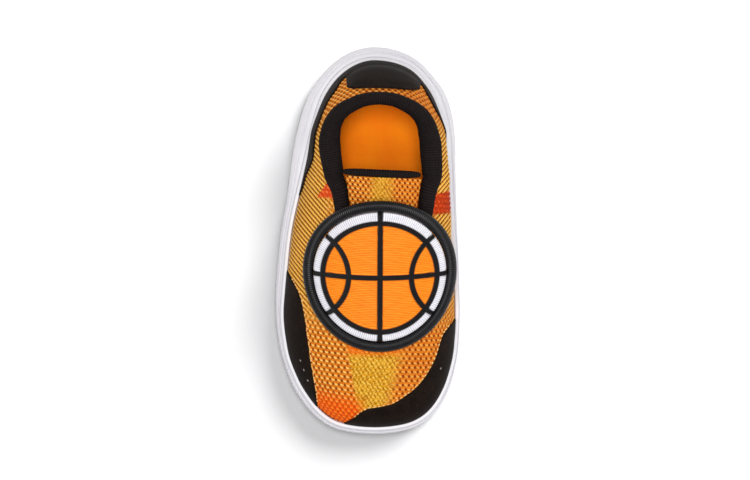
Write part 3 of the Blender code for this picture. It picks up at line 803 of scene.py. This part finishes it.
def insole_finish():
    """Smooth bright orange cloth with a faint weave."""
    finish = Finish("insole_cloth", roughness=0.8, specular=0.06)
    across, along = finish.flat()
    finish.clouds(120.0, 3.0, (0.25, "#EE740C"), (0.75, "#F0820E"))
    finish.bump((across / 0.8).wave() + (along / 0.8).wave(), 0.05 * MM, 0.5)
    return finish.material


def foam_finish():
    """White moulded foam with a faint skin and a little grey in its clouds."""
    finish = Finish("white_foam", specular=0.35)
    skin = finish.noise(1100.0, 2.0)
    finish.clouds(45.0, 4.0, (0.2, "#DBD9DE"), (0.7, "#E4E2E6"))
    finish.set("Roughness", skin * 0.2 + 0.4)
    finish.bump(skin, 0.05 * MM, 0.4)
    return finish.material


def badge_finish():
    """Embroidery: an orange ball with black seams inside a white ring."""
    thread_pitch, stitch_length, ring_threads = 0.62, 5.0, 190
    finish = Finish("badge_thread", roughness=0.6, specular=0.22)
    across, along = finish.flat()
    ring, seam = finish.zone("ring"), finish.zone("seam")
    rows = along / thread_pitch
    row = (rows + 0.5).math("FLOOR")
    ends = ((across + along * 0.15) / stitch_length + row * 0.37).wave()
    fill = rows.wave() * 0.7 + ends * 0.2
    radial = (across.math("ARCTAN2", along) * (ring_threads / math.tau)).wave()
    satin = ((across + along) / thread_pitch).wave()
    height = seam.mix(ring.mix(fill, radial), satin)
    shade = finish.noise(0.25, 2.0, finish.point(across, along * 3.0))
    level = (height * 0.5 + 0.5) * 0.6 + shade * 0.45
    orange = level.ramp((0.1, "#D95F00"), (0.45, "#FA8206"), (0.9, "#FF9C22"))
    white = level.ramp((0.1, "#B9B6C2"), (0.45, "#E2E0E8"), (0.9, "#F8F7FA"))
    black = level.ramp((0.1, "#050506"), (0.5, "#0D0C0E"), (0.9, "#1F1D22"))
    finish.set("Base Color", seam.blend(ring.blend(orange, white), black))
    finish.bump(height, 0.12 * MM, 0.8)
    return finish.material


def border_finish():
    """Black corded satin thread."""
    finish = Finish("border_thread", specular=0.3)
    cloud = finish.clouds(300.0, 3.0, (0.3, "#070608"), (0.75, "#131216"))
    finish.set("Roughness", cloud * 0.2 + 0.32)
    return finish.material


def plain_finish(name, scale, dark, light, roughness, specular=0.5):
    """Thread or floor in soft clouds between two shades."""
    finish = Finish(name, roughness, specular)
    finish.clouds(scale, 2.0, (0.3, dark), (0.7, light))
    return finish.material


# Pieces


def knit_zones(mesh):
    """Keeps the knit's zones and gives them back. Edges are in millimetres on the shoe or the flat cloth."""
    x, y, _ = ((gathered(mesh.vertices, "co", 3) - SET_DOWN) / MM).T
    across, along = vertex_flats(mesh).T

    lateral_edge, medial_edge = 9.4 - 0.167 * (y - 40.6), -8.4 + 0.24 * (y - 41.0)
    middle = smoothstep(0.7, -0.7, x - lateral_edge) * smoothstep(-3.0, 3.0, x - medial_edge)
    vamp_gold = middle * smoothstep(24.0, 34.0, along)
    tongue_gold = 0.8 * smoothstep(5.5, 1.5, np.abs(x + 1.9)) * band(y, (-30.0, -28.0), (-4.0, -8.0))
    side = smoothstep(14.0, 22.0, np.abs(across + 1.5)) * band(along, (-52.0, -34.0), (34.0, 16.0))
    toe_corner = smoothstep(54.0, 62.0, y + 0.2 * x) * smoothstep(1.5, 8.0, x)
    # Painted shade of the badge: a red-orange band just under its lower edge
    under_badge_shade = 0.8 * band(y, (33.0, 36.0), (41.0, 38.0)) * middle
    lateral_back, medial_back = 1.42 * (x - 16.9) - 21.5, 0.1 * (x + 22.8) - 17.9
    lateral_stripe = smoothstep(-0.3, 0.3, y - lateral_back) * smoothstep(12.0, 13.0, x)
    lateral_stripe = lateral_stripe * smoothstep(0.3, -0.3, y + 16.2)
    medial_stripe = smoothstep(-0.3, 0.3, y - medial_back) * smoothstep(-16.0, -17.0, x)
    medial_stripe = medial_stripe * smoothstep(-10.0, -11.0, y)
    zones = {
        "gold": np.maximum(vamp_gold, tongue_gold),
        "side": side,
        "line": y + LINE_SLANT * np.abs(x),
        "open_knit": smoothstep(18.0, -12.0, x),
        "ember_and_badge_shade": np.maximum(toe_corner, under_badge_shade),
        "coral": np.maximum(lateral_stripe, medial_stripe),
    }
    for name, values in zones.items():
        add_zone(mesh, name, values)
    return zones


def knit_height(flat, zones):
    """Relief of the knit between -1 in its holes and 1 on its stitches, fainter in the gold."""
    p = flat[:, 0] / CELL_ACROSS
    q = flat[:, 1] / CELL_ALONG + CELL_SLANT * p
    cells = np.cos(math.tau * p) * np.cos(math.pi * q)
    lines = np.cos(math.tau * zones["line"] / LINE_PITCH)
    return (cells * (1 - zones["side"]) + lines * zones["side"]) * (1 - 0.8 * zones["gold"])


def upper_sheet(name, columns, rows):
    girth, shares = girths(0.0, 360.0, columns), np.linspace(0.0, 1.0, rows + 1)
    points = upper_surface(girth[None, :], shares[:, None])
    return grid_mesh(name, [Patch(points, flat_of_upper(girth, shares))])


def make_upper(finish):
    """The knitted upper, with its relief outside and a smooth lining a wall inside it."""
    mesh = upper_sheet("upper_knit", UPPER_COLUMNS, UPPER_ROWS)
    lining = upper_sheet("upper_lining", LINING_COLUMNS, LINING_ROWS)
    relief = knit_height(vertex_flats(mesh), knit_zones(mesh))
    knit_zones(lining)
    lift(mesh, KNIT_RELIEF * (relief - KNIT_SUNK))
    lift(lining, np.full(len(lining.vertices), -UPPER_WALL))
    lined(mesh, lining)
    bpy.data.meshes.remove(lining)
    add_piece("upper_knit", mesh, finish, "upper")


def make_overlay(name, edges, finish, crown=0.0, seat=FILM_SEAT, tuck=0.0):
    """A film overlay on the upper with a rounded edge all round. A tuck runs its lower edge further down."""
    first, last = edges[0].girth, edges[-1].girth
    columns = max(OVERLAY_COLUMNS_LEAST, round((last - first) * OVERLAY_COLUMNS_PER_DEGREE))
    even, arch = np.linspace(0.0, 1.0, columns + 1), np.linspace(0.0, math.pi, columns + 1)
    denser_at_ends = 0.35 * (1 - np.cos(arch)) / 2 + 0.65 * even
    girth = np.radians(first + (last - first) * denser_at_ends)
    low, high = read_edge(edges, "low", girth) - tuck * np.sin(arch), read_edge(edges, "high", girth)
    part = (1 - np.cos(np.linspace(0.0, math.pi, OVERLAY_ROWS + 1)))[:, None] / 2
    share = above_lip(girth, low + (high - low) * part)
    place, outward = upper_surface(girth, share), upper_normals(girth, share)
    tall = np.linalg.norm(place[-1] - place[0], axis=-1)
    run = length_along(place[OVERLAY_ROWS // 2])
    edge = np.minimum(np.minimum(part, 1 - part) * tall, np.minimum(run, run[-1] - run))
    wall = FILM_WALL * rounded(edge, FILM_ROUND) + crown * smoothstep(0.0, CROWN_RUN, edge)
    face = place + outward * (seat + wall)[..., None]
    back = place + outward * (seat - FILM_BACK)
    rims = [strip(back[row], face[row]) for row in (0, -1)]
    rims += [strip(back[:, end], face[:, end]) for end in (0, -1)]
    mesh = grid_mesh(name, [Patch(face), Patch(back), *rims])
    add_piece(name + "_film", mesh, finish, name)


def make_edge_stitches(name, edges, finish):
    """A row of short stitches just above the upper edge of a guard."""
    clear_of_ends, samples = 1.5, 400
    first, last = edges[0].girth + clear_of_ends, edges[-1].girth - clear_of_ends
    girth = np.radians(np.linspace(first, last, samples))
    share = above_lip(girth, read_edge(edges, "high", girth)) + STITCH_ABOVE
    place, outward = upper_surface(girth, share), upper_normals(girth, share)
    run = length_along(place)
    turn = full_turn(10)[None, :, None]
    part = np.linspace(-1.0, 1.0, 9)[:, None, None]
    girdle = STITCH_RADIUS * np.sqrt(1 - part**4)

    def at(length, vectors):
        return np.array([np.interp(length, run, axis) for axis in vectors.T])

    patches = []
    for middle in np.arange(STITCH_PITCH, run[-1] - STITCH_PITCH, STITCH_PITCH):
        before, after = at(middle - STITCH_REACH, place), at(middle + STITCH_REACH, place)
        forward, normal = unit(after - before), at(middle, outward)
        sideways = np.cross(normal, forward)
        points = (before + after) / 2 + normal * STITCH_SEAT + forward * part * STITCH_LENGTH / 2
        points = points + girdle * (np.cos(turn) * sideways + np.sin(turn) * normal)
        patches.append(Patch(points))
    add_piece(name, grid_mesh(name, patches), finish)


def make_vents(name, vents, finish):
    """Pale dots where the film is pierced: shallow domes set into its face."""
    turn = full_turn(24)[None, :]
    ring = np.linspace(0.0, 1.0, 7)[:, None]
    circle = stacked(ring * np.cos(turn), ring * np.sin(turn))
    film_face = FILM_SEAT + FILM_WALL
    patches = []
    for vent in vents:
        girth = np.radians([vent.girth])
        share = above_lip(girth, vent.share)
        middle, outward = upper_surface(girth, share)[0], upper_normals(girth, share)[0]
        sideways = unit(np.cross(outward, UP))
        upward = np.cross(sideways, outward)
        disc = middle + VENT_RADIUS * (circle[..., :1] * sideways + circle[..., 1:] * upward)
        dome = disc + outward * (film_face + VENT_DOME * (1 - ring**2)[..., None])
        under = disc + outward * (film_face - FILM_BACK)
        patches += [Patch(dome), Patch(under), strip(under[-1], dome[-1])]
    add_piece(name, grid_mesh(name, patches), finish)


def across_grid(ring_of, columns, steps, crown=0.0):
    """A grid over the shoe's plan between the halves of a ring, with a crown in the middle."""
    girth = girths(0.0, 180.0, columns)
    lateral, medial = ring_of(girth), ring_of(-girth)
    share = np.linspace(0.0, 1.0, steps + 1)[:, None]
    grid = medial[None] * (1 - share[..., None]) + lateral[None] * share[..., None]
    width = np.linalg.norm(lateral - medial, axis=-1) / BALL_WIDTH
    grid[..., 2] += crown * 4 * share * (1 - share) * width
    return Patch(grid)


def sole_profile(girth):
    """Rings of the sole's outside from the tread's edge, over its ribbed wall and lip, to the footbed."""
    tread = read_side(LEVELS, "tread_medial", "tread_lateral", girth) * MM
    lip, footbed = lip_height(girth), footbed_height(girth)
    on_upper = upper_surface(girth, share_at_height(girth, lip)) - feather_line(girth)
    flare = (on_upper * level_direction(feather_line(girth) - top_line(girth))).sum(-1)
    lip_inside = SEAT_GAP + np.maximum(flare, 0.0)
    lip_outside = lip_inside + LIP_WALL
    swell = read_side(SWELLS, "medial", "lateral", girth) * MM
    wide = lip_outside + swell
    edge = wide - read(SWELLS, "undercut", station_of(girth)) * MM
    groove = np.minimum(0.14 * swell, 0.3 * MM)

    def at(share):
        return tread + share * (lip - tread)

    rows = (
        # The tread's edge, and the wall up to its widest line
        (edge - 0.9 * MM, at(0.0)), (edge - 0.45 * MM, at(0.015)), (edge, at(0.09)),
        (wide - 0.9 * MM, at(0.20)), (wide - 0.25 * MM, at(0.31)), (wide, at(0.42)),
        # The rib's round top, with a groove beside it
        (wide - 0.06 * swell, at(0.50)), (wide - 0.18 * swell, at(0.56)), (wide - 0.36 * swell, at(0.605)),
        (wide - 0.50 * swell + groove, at(0.635)), (wide - 0.50 * swell, at(0.635) - 1.6 * groove),
        (wide - 0.50 * swell - groove, at(0.66)), (wide - 0.80 * swell, at(0.71)),
        # The notch under the lip, the lip's round edge, and its inside down to the footbed
        (lip_outside + 0.12 * MM, at(0.73)), (lip_outside - 0.05 * MM, at(0.71)),
        (lip_outside - 0.05 * MM, at(0.80)), (lip_outside, at(0.90)), (lip_outside - 0.12 * MM, at(0.965)),
        (lip_outside - 0.45 * MM, lip), (lip_inside + 0.25 * MM, lip), (lip_inside, lip - 0.3 * MM),
        (np.full_like(lip, SEAT_GAP), footbed),
    )
    return [outline_at(girth, offset, height) for offset, height in rows]


def box_cutter(middle, size):
    mesh = bpy.data.meshes.new("groove")
    with editing(mesh) as bm:
        bmesh.ops.create_cube(bm, size=1.0)
        bmesh.ops.scale(bm, vec=size, verts=bm.verts)
        bmesh.ops.translate(bm, vec=Vector(middle) + Vector(SET_DOWN), verts=bm.verts)
    return bpy.data.objects.new("groove", mesh)


def cut_grooves(piece):
    """Cuts the tread's flex grooves and leaves no cutter behind."""
    spans = [(at, at, GROOVE_SPAN, GROOVE_WIDTH) for at in GROOVE_STATIONS]
    spans += [(*span, MIDDLE_GROOVE_WIDTH, 0.0) for span in MIDDLE_GROOVES]
    cutters = bpy.data.collections.new("cutters")
    bpy.context.scene.collection.children.link(cutters)
    for first, last, across, along in spans:
        middle = (0.0, UPPER_HEEL + UPPER_LENGTH * (first + last) / 2, 0.0)
        size = (across, along + UPPER_LENGTH * (last - first), 2 * GROOVE_DEPTH)
        cutters.objects.link(box_cutter(middle, size))
    cut = piece.modifiers.new("Grooves", "BOOLEAN")
    cut.operation = "DIFFERENCE"
    cut.operand_type = "COLLECTION"
    cut.collection = cutters
    graph = bpy.context.evaluated_depsgraph_get()
    cut_mesh = bpy.data.meshes.new_from_object(piece.evaluated_get(graph))
    piece.modifiers.clear()
    piece.data = cut_mesh
    for cutter in list(cutters.objects):
        bpy.data.objects.remove(cutter, do_unlink=True)
    bpy.data.collections.remove(cutters)


def make_sole(finish):
    rings = np.array(sole_profile(girths(0.0, 360.0, SOLE_COLUMNS)))
    tread = across_grid(lambda girth: sole_profile(girth)[0], SOLE_COLUMNS // 2, 24)
    footbed = across_grid(lambda girth: sole_profile(girth)[-1], SOLE_COLUMNS // 2, 24)
    mesh = grid_mesh("sole_foam", [Patch(rings), tread, footbed], smooth_angle=40.0)
    cut_grooves(add_piece("sole_foam", mesh, finish, "sole"))


def make_insole(finish):
    """The padded insole, with a rounded edge and a slight hollow for the foot."""
    inset = -(UPPER_WALL + 2 * SEAT_GAP)
    profile = (
        (inset, 0.0), (inset, INSOLE_WALL - 0.8 * MM),
        (inset - 0.25 * MM, INSOLE_WALL - 0.25 * MM), (inset - 0.8 * MM, INSOLE_WALL),
    )

    def ring(girth, offset, above):
        return outline_at(girth, np.full_like(girth, offset), footbed_height(girth) + SEAT_GAP + above)

    wall = np.array([ring(girths(0.0, 360.0, INSOLE_COLUMNS), *row) for row in profile])
    under = across_grid(lambda girth: ring(girth, *profile[0]), INSOLE_COLUMNS // 2, 16)
    over = across_grid(lambda girth: ring(girth, *profile[-1]), INSOLE_COLUMNS // 2, 16, -INSOLE_HOLLOW)
    mesh = grid_mesh("insole_cloth", [Patch(wall), under, over])
    piece = add_piece("insole_cloth", mesh, finish, "insole")


def closed_curve(points, count):
    """A smooth closed curve through points, evenly sampled between them."""
    before, points, after, beyond = (np.roll(points, shift, axis=0) for shift in (1, 0, -1, -2))
    t = np.linspace(0.0, 1.0, count, endpoint=False)[:, None, None]
    curve = 0.5 * (
        2 * points
        + (after - before) * t
        + (2 * before - 5 * points + 4 * after - beyond) * t**2
        + (3 * points - before - 3 * after + beyond) * t**3
    )
    smooth = curve.transpose(1, 0, 2).reshape(-1, points.shape[1])
    return np.concatenate([smooth, smooth[:1]])


def collar_section(width, roll, depth):
    """The collar's section, inwards and upwards from the top line: a roll over it and a pad inside."""
    behind = UPPER_WALL + 0.5 * MM
    return (
        (0.1 * MM, 0.4 * MM), (0.3 * MM, 0.55 * roll + 0.2 * MM), (0.22 * width, 0.92 * roll),
        (0.48 * width, roll), (0.76 * width, 0.72 * roll), (0.95 * width, 0.05 * roll),
        (width, -0.35 * depth), (0.90 * width, -0.72 * depth), (0.70 * width, -0.97 * depth),
        (max(behind, 0.5 * width), -depth), (behind, -0.55 * depth), (behind, 0.4 * MM),
    )


def make_collar(finish):
    """The padded collar, from one side of the throat round the heel to the other."""
    end = math.degrees(math.acos(2 * COLLAR_ENDS - 1))
    girth = girths(end, 360.0 - end, COLLAR_COLUMNS)
    edge = top_line(girth)
    inward = level_direction(np.cross(np.gradient(edge, axis=0), UP))
    sizes = [read(PADS, name, station_of(girth)) * MM for name in ("width", "roll", "depth")]
    rings, flats = [], []
    for point, towards, run, *size in zip(edge, inward, length_along(edge), *sizes):
        section = closed_curve(collar_section(*size), 4)
        rings.append(point + towards * section[:, :1] + UP * section[:, 1:])
        flats.append(stacked(run, length_along(section)) / MM)
    mesh = filled(grid_mesh("collar_knit", [Patch(np.array(rings), np.array(flats))]))
    piece = add_piece("collar_knit", mesh, finish, "collar")


def tongue_size(name, along):
    """A size of the tongue at places along it."""
    folds = TONGUE[::-1]
    return curve_through(column(folds, "along"), column(folds, name), along, level_ends=False) * MM


def make_tongue(finish):
    """The padded tongue, its top end a little past the binding's middle."""
    along = np.linspace(TONGUE[-1].along - 0.3, TONGUE[0].along, 90)[:, None]
    height, half_width, drop = (tongue_size(name, along) for name in ("height", "half_width", "drop"))
    angle = full_turn(96)
    squareness, slope_stretch = 0.6, 1.06
    flat_share = np.sign(np.cos(angle)) * np.abs(np.cos(angle)) ** squareness
    thick_share = np.sign(np.sin(angle)) * np.abs(np.sin(angle)) ** squareness
    x = TONGUE_ACROSS + half_width * flat_share
    z = height - drop * flat_share**2 - TONGUE_WALL / 2 + thick_share * TONGUE_WALL / 2
    slant = TONGUE_SLANT * (x - TONGUE_ACROSS) * smoothstep(0.0, TONGUE[-1].along, along)
    flat = stacked(x / MM, along * slope_stretch)
    mesh = filled(grid_mesh("tongue_knit", [Patch(stacked(x, along * MM + slant, z), flat)]))
    knit_zones(mesh)
    piece = add_piece("tongue_knit", mesh, finish, "tongue")


def make_binding(finish):
    """The bound top edge of the tongue, flatter from behind than it is tall."""
    top = TONGUE[-1]
    half_thick = 0.8 * BINDING_RADIUS
    behind = top.along * MM - half_thick - SEAT_GAP
    share = np.linspace(-1.0, 1.0, 121)[:, None]
    turn = full_turn(24)
    across = TONGUE_ACROSS + BINDING_SHIFT + share * BINDING_HALF
    height = (top.height - top.drop * share**2) * MM - TONGUE_WALL / 2
    girdle = (1 - share**4) ** 0.5 + 0.2 * share**4
    along = behind + TONGUE_SLANT * (across - TONGUE_ACROSS) + half_thick * girdle * np.cos(turn)
    points = stacked(across, along, height + BINDING_RADIUS * girdle * np.sin(turn))
    flat = stacked(across, turn * BINDING_RADIUS) / MM
    mesh = filled(grid_mesh("tongue_binding_cloth", [Patch(points, flat)]))
    add_piece("tongue_binding_cloth", mesh, finish, "tongue_binding")


def badge_sheet(radius, angle, above):
    """Points of the badge, bent over the vamp: polar places on its flat pattern and heights above its back."""
    across, along = radius * np.sin(angle), radius * np.cos(angle) * BADGE_STRETCH
    bend = across / BADGE_BEND
    outward = (BADGE_BEND + above) * np.cos(bend) - BADGE_BEND
    x = BADGE_MIDDLE[0] + (BADGE_BEND + above) * np.sin(bend)
    y = BADGE_MIDDLE[1] + along * math.cos(BADGE_SLOPE) + outward * math.sin(BADGE_SLOPE)
    z = BADGE_MIDDLE[2] - along * math.sin(BADGE_SLOPE) + outward * math.cos(BADGE_SLOPE)
    return stacked(x, y, z)


def badge_design(flat):
    """The share of the ring and the distance from the ball's seams at places on the badge, in millimetres."""
    across, along = np.abs(flat[..., 0]), np.abs(flat[..., 1])
    radius = np.hypot(across, along)
    arcs = np.abs(np.hypot(across - SEAM_ARC_CENTRE, along) - SEAM_ARC_RADIUS)
    circle = np.abs(radius - BALL_RADIUS)
    from_seam = np.minimum(np.minimum(across, along), np.minimum(arcs, circle))
    return smoothstep(BALL_RADIUS - 0.15, BALL_RADIUS + 0.15, radius), from_seam


def make_badge_field(finish):
    """The badge's embroidered field, with raised satin seams."""
    field = BADGE_RADIUS - BORDER_WIDTH - SEAT_GAP
    angle = full_turn(360)[None, :]
    radius = np.linspace(0.0, field, 110)[:, None]
    flat = stacked(radius * np.sin(angle), radius * np.cos(angle)) / MM
    ring, from_seam = badge_design(flat)
    satin = np.sqrt(np.clip(1 - (from_seam / (SEAM_HALF + 0.25)) ** 2, 0.0, 1.0))
    relief = (0.55 * satin + 0.25 * ring) * MM * smoothstep(field, field - 0.6 * MM, radius)
    face = badge_sheet(radius, angle, BADGE_WALL - 0.2 * MM + relief)
    back = badge_sheet(np.linspace(0.0, field, 6)[:, None], angle, np.zeros(1))
    back_flat = np.zeros((*back.shape[:2], 2))
    side = Patch(np.array([back[-1], face[-1]]), np.array([flat[-1], flat[-1]]))
    mesh = grid_mesh("badge_field_thread", [Patch(face, flat), Patch(back, back_flat), side])
    ring, from_seam = badge_design(vertex_flats(mesh))
    add_zone(mesh, "ring", ring)
    add_zone(mesh, "seam", smoothstep(SEAM_HALF + 0.12, SEAM_HALF - 0.12, from_seam))
    add_piece("badge_field_thread", mesh, finish, "badge_field")


def make_badge_border(finish):
    """The badge's border: a tube wound with thread."""
    angle = full_turn(BORDER_THREADS * STEPS_PER_THREAD)[None, :]
    turn = full_turn(24)[:, None]
    ridge = THREAD_RIDGE * np.cos(BORDER_THREADS * angle + turn) - THREAD_RIDGE / 2
    half_width = BORDER_WIDTH / 2
    radius = BADGE_RADIUS - half_width + (half_width + ridge) * np.cos(turn)
    above = BORDER_HALF_HEIGHT + (BORDER_HALF_HEIGHT + ridge) * np.sin(turn)
    mesh = grid_mesh("badge_border_thread", [Patch(badge_sheet(radius, angle, above))])
    add_piece("badge_border_thread", mesh, finish, "badge_border")


# Stage


def make_floor():
    half_size, just_below = 3.0, -0.0002
    bm = bmesh.new()
    bmesh.ops.create_grid(bm, x_segments=8, y_segments=8, size=half_size)
    mesh = bpy.data.meshes.new("floor")
    bm.to_mesh(mesh)
    bm.free()
    mesh.materials.append(plain_finish("floor", 2.0, "#CECECF", "#D0D0D1", 0.9))
    floor = bpy.data.objects.new("floor", mesh)
    floor.location = (0.0, 0.0, just_below)
    bpy.context.scene.collection.objects.link(floor)
    return floor


def aim(thing, place, target, up):
    """Places a camera or light, looking at a target, with a direction of the picture's top."""
    back = (Vector(place) - Vector(target)).normalized()
    right = Vector(up).cross(back).normalized()
    turn = Matrix((right, back.cross(right), back)).transposed().to_4x4()
    thing.matrix_world = Matrix.Translation(place) @ turn


def add_light(name, place, size, power, lit):
    """A round soft light on the things that a group names, or on everything."""
    data = bpy.data.lights.new(name, "AREA")
    data.shape = "DISK"
    data.size = size
    data.energy = power
    light = bpy.data.objects.new(name, data)
    bpy.context.scene.collection.objects.link(light)
    light.light_linking.receiver_collection = lit
    aim(light, place, (0.0, 0.0, 0.02), (0.0, 1.0, 0.0))


def lit_group(name, member, state):
    """A collection for lights to fall on: its member alone, or all but its member."""
    group = bpy.data.collections.new(name)
    group.objects.link(member)
    group.collection_objects[0].light_linking.link_state = state
    return group


def make_stage():
    """A pale floor under soft light from above. The shoe's shadow on it comes from a light of its own."""
    floor = make_floor()
    floor_only = lit_group("floor_only", floor, "INCLUDE")
    shoe_only = lit_group("shoe_only", floor, "EXCLUDE")
    world = bpy.data.worlds.new("studio")
    world.use_nodes = True
    world.node_tree.nodes["Background"].inputs["Color"].default_value = (1.0, 1.0, 1.0, 1.0)
    world.node_tree.nodes["Background"].inputs["Strength"].default_value = 0.28
    bpy.context.scene.world = world
    add_light("key", (-0.6, -0.74, 1.37), 0.62, 29.0, floor_only)
    add_light("fill", (0.25, 0.25, 1.48), 0.5, 6.4, shoe_only)
    add_light("rim", (-1.2, 0.05, 0.45), 0.5, 3.0, shoe_only)
    add_light("overhead", (0.0, -0.2, 1.68), 0.5, 19.4, None)
    bpy.context.scene.view_settings.view_transform = "Standard"


def make_camera():
    """Almost straight above, a little to the heel's side, with the heel at the picture's top."""
    image_width, pixels_per_metre = 750, 2820.0
    target, place = Vector((-0.0024, -0.0014, 0.025)), Vector((0.0096, -0.0744, 1.05))
    data = bpy.data.cameras.new("camera")
    camera = bpy.data.objects.new("camera", data)
    bpy.context.scene.collection.objects.link(camera)
    aim(camera, place, target, (0.0, -1.0, 0.0))
    data.lens_unit = "FOV"
    data.angle = 2 * math.atan(image_width / pixels_per_metre / 2 / (place - target).length)
    bpy.context.scene.camera = camera


def main():
    film, tab_film = film_finish("black_film", 0.5), film_finish("tab_film", 0.4)
    collar = collar_finish()
    thread = plain_finish("stitch_thread", 500.0, "#D89A4C", "#F2C684", 0.7, 0.2)
    pale = plain_finish("pale_thread", 900.0, "#6E645F", "#968C86", 0.7)
    make_sole(foam_finish())
    make_insole(insole_finish())
    make_upper(mesh_finish("mesh_knit", 1.0, 1.0))
    make_overlay("toe_guard", TOE_GUARD, film)
    make_overlay("side_guard", SIDE_GUARD, film)
    make_overlay("heel_counter", HEEL_COUNTER, film)
    make_overlay("heel_tab", HEEL_TAB, tab_film, crown=0.4 * MM, seat=FILM_SEAT + FILM_WALL, tuck=0.05)
    make_edge_stitches("toe_stitches", TOE_GUARD, thread)
    make_edge_stitches("side_stitches", SIDE_GUARD, thread)
    make_vents("side_vents", SIDE_VENTS, pale)
    make_vents("toe_vents", TOE_VENTS, pale)
    make_collar(collar)
    make_tongue(mesh_finish("tongue_mesh", 1.25, 1.8))
    make_binding(collar)
    make_badge_field(badge_finish())
    make_badge_border(border_finish())
    make_camera()
    make_stage()


main()
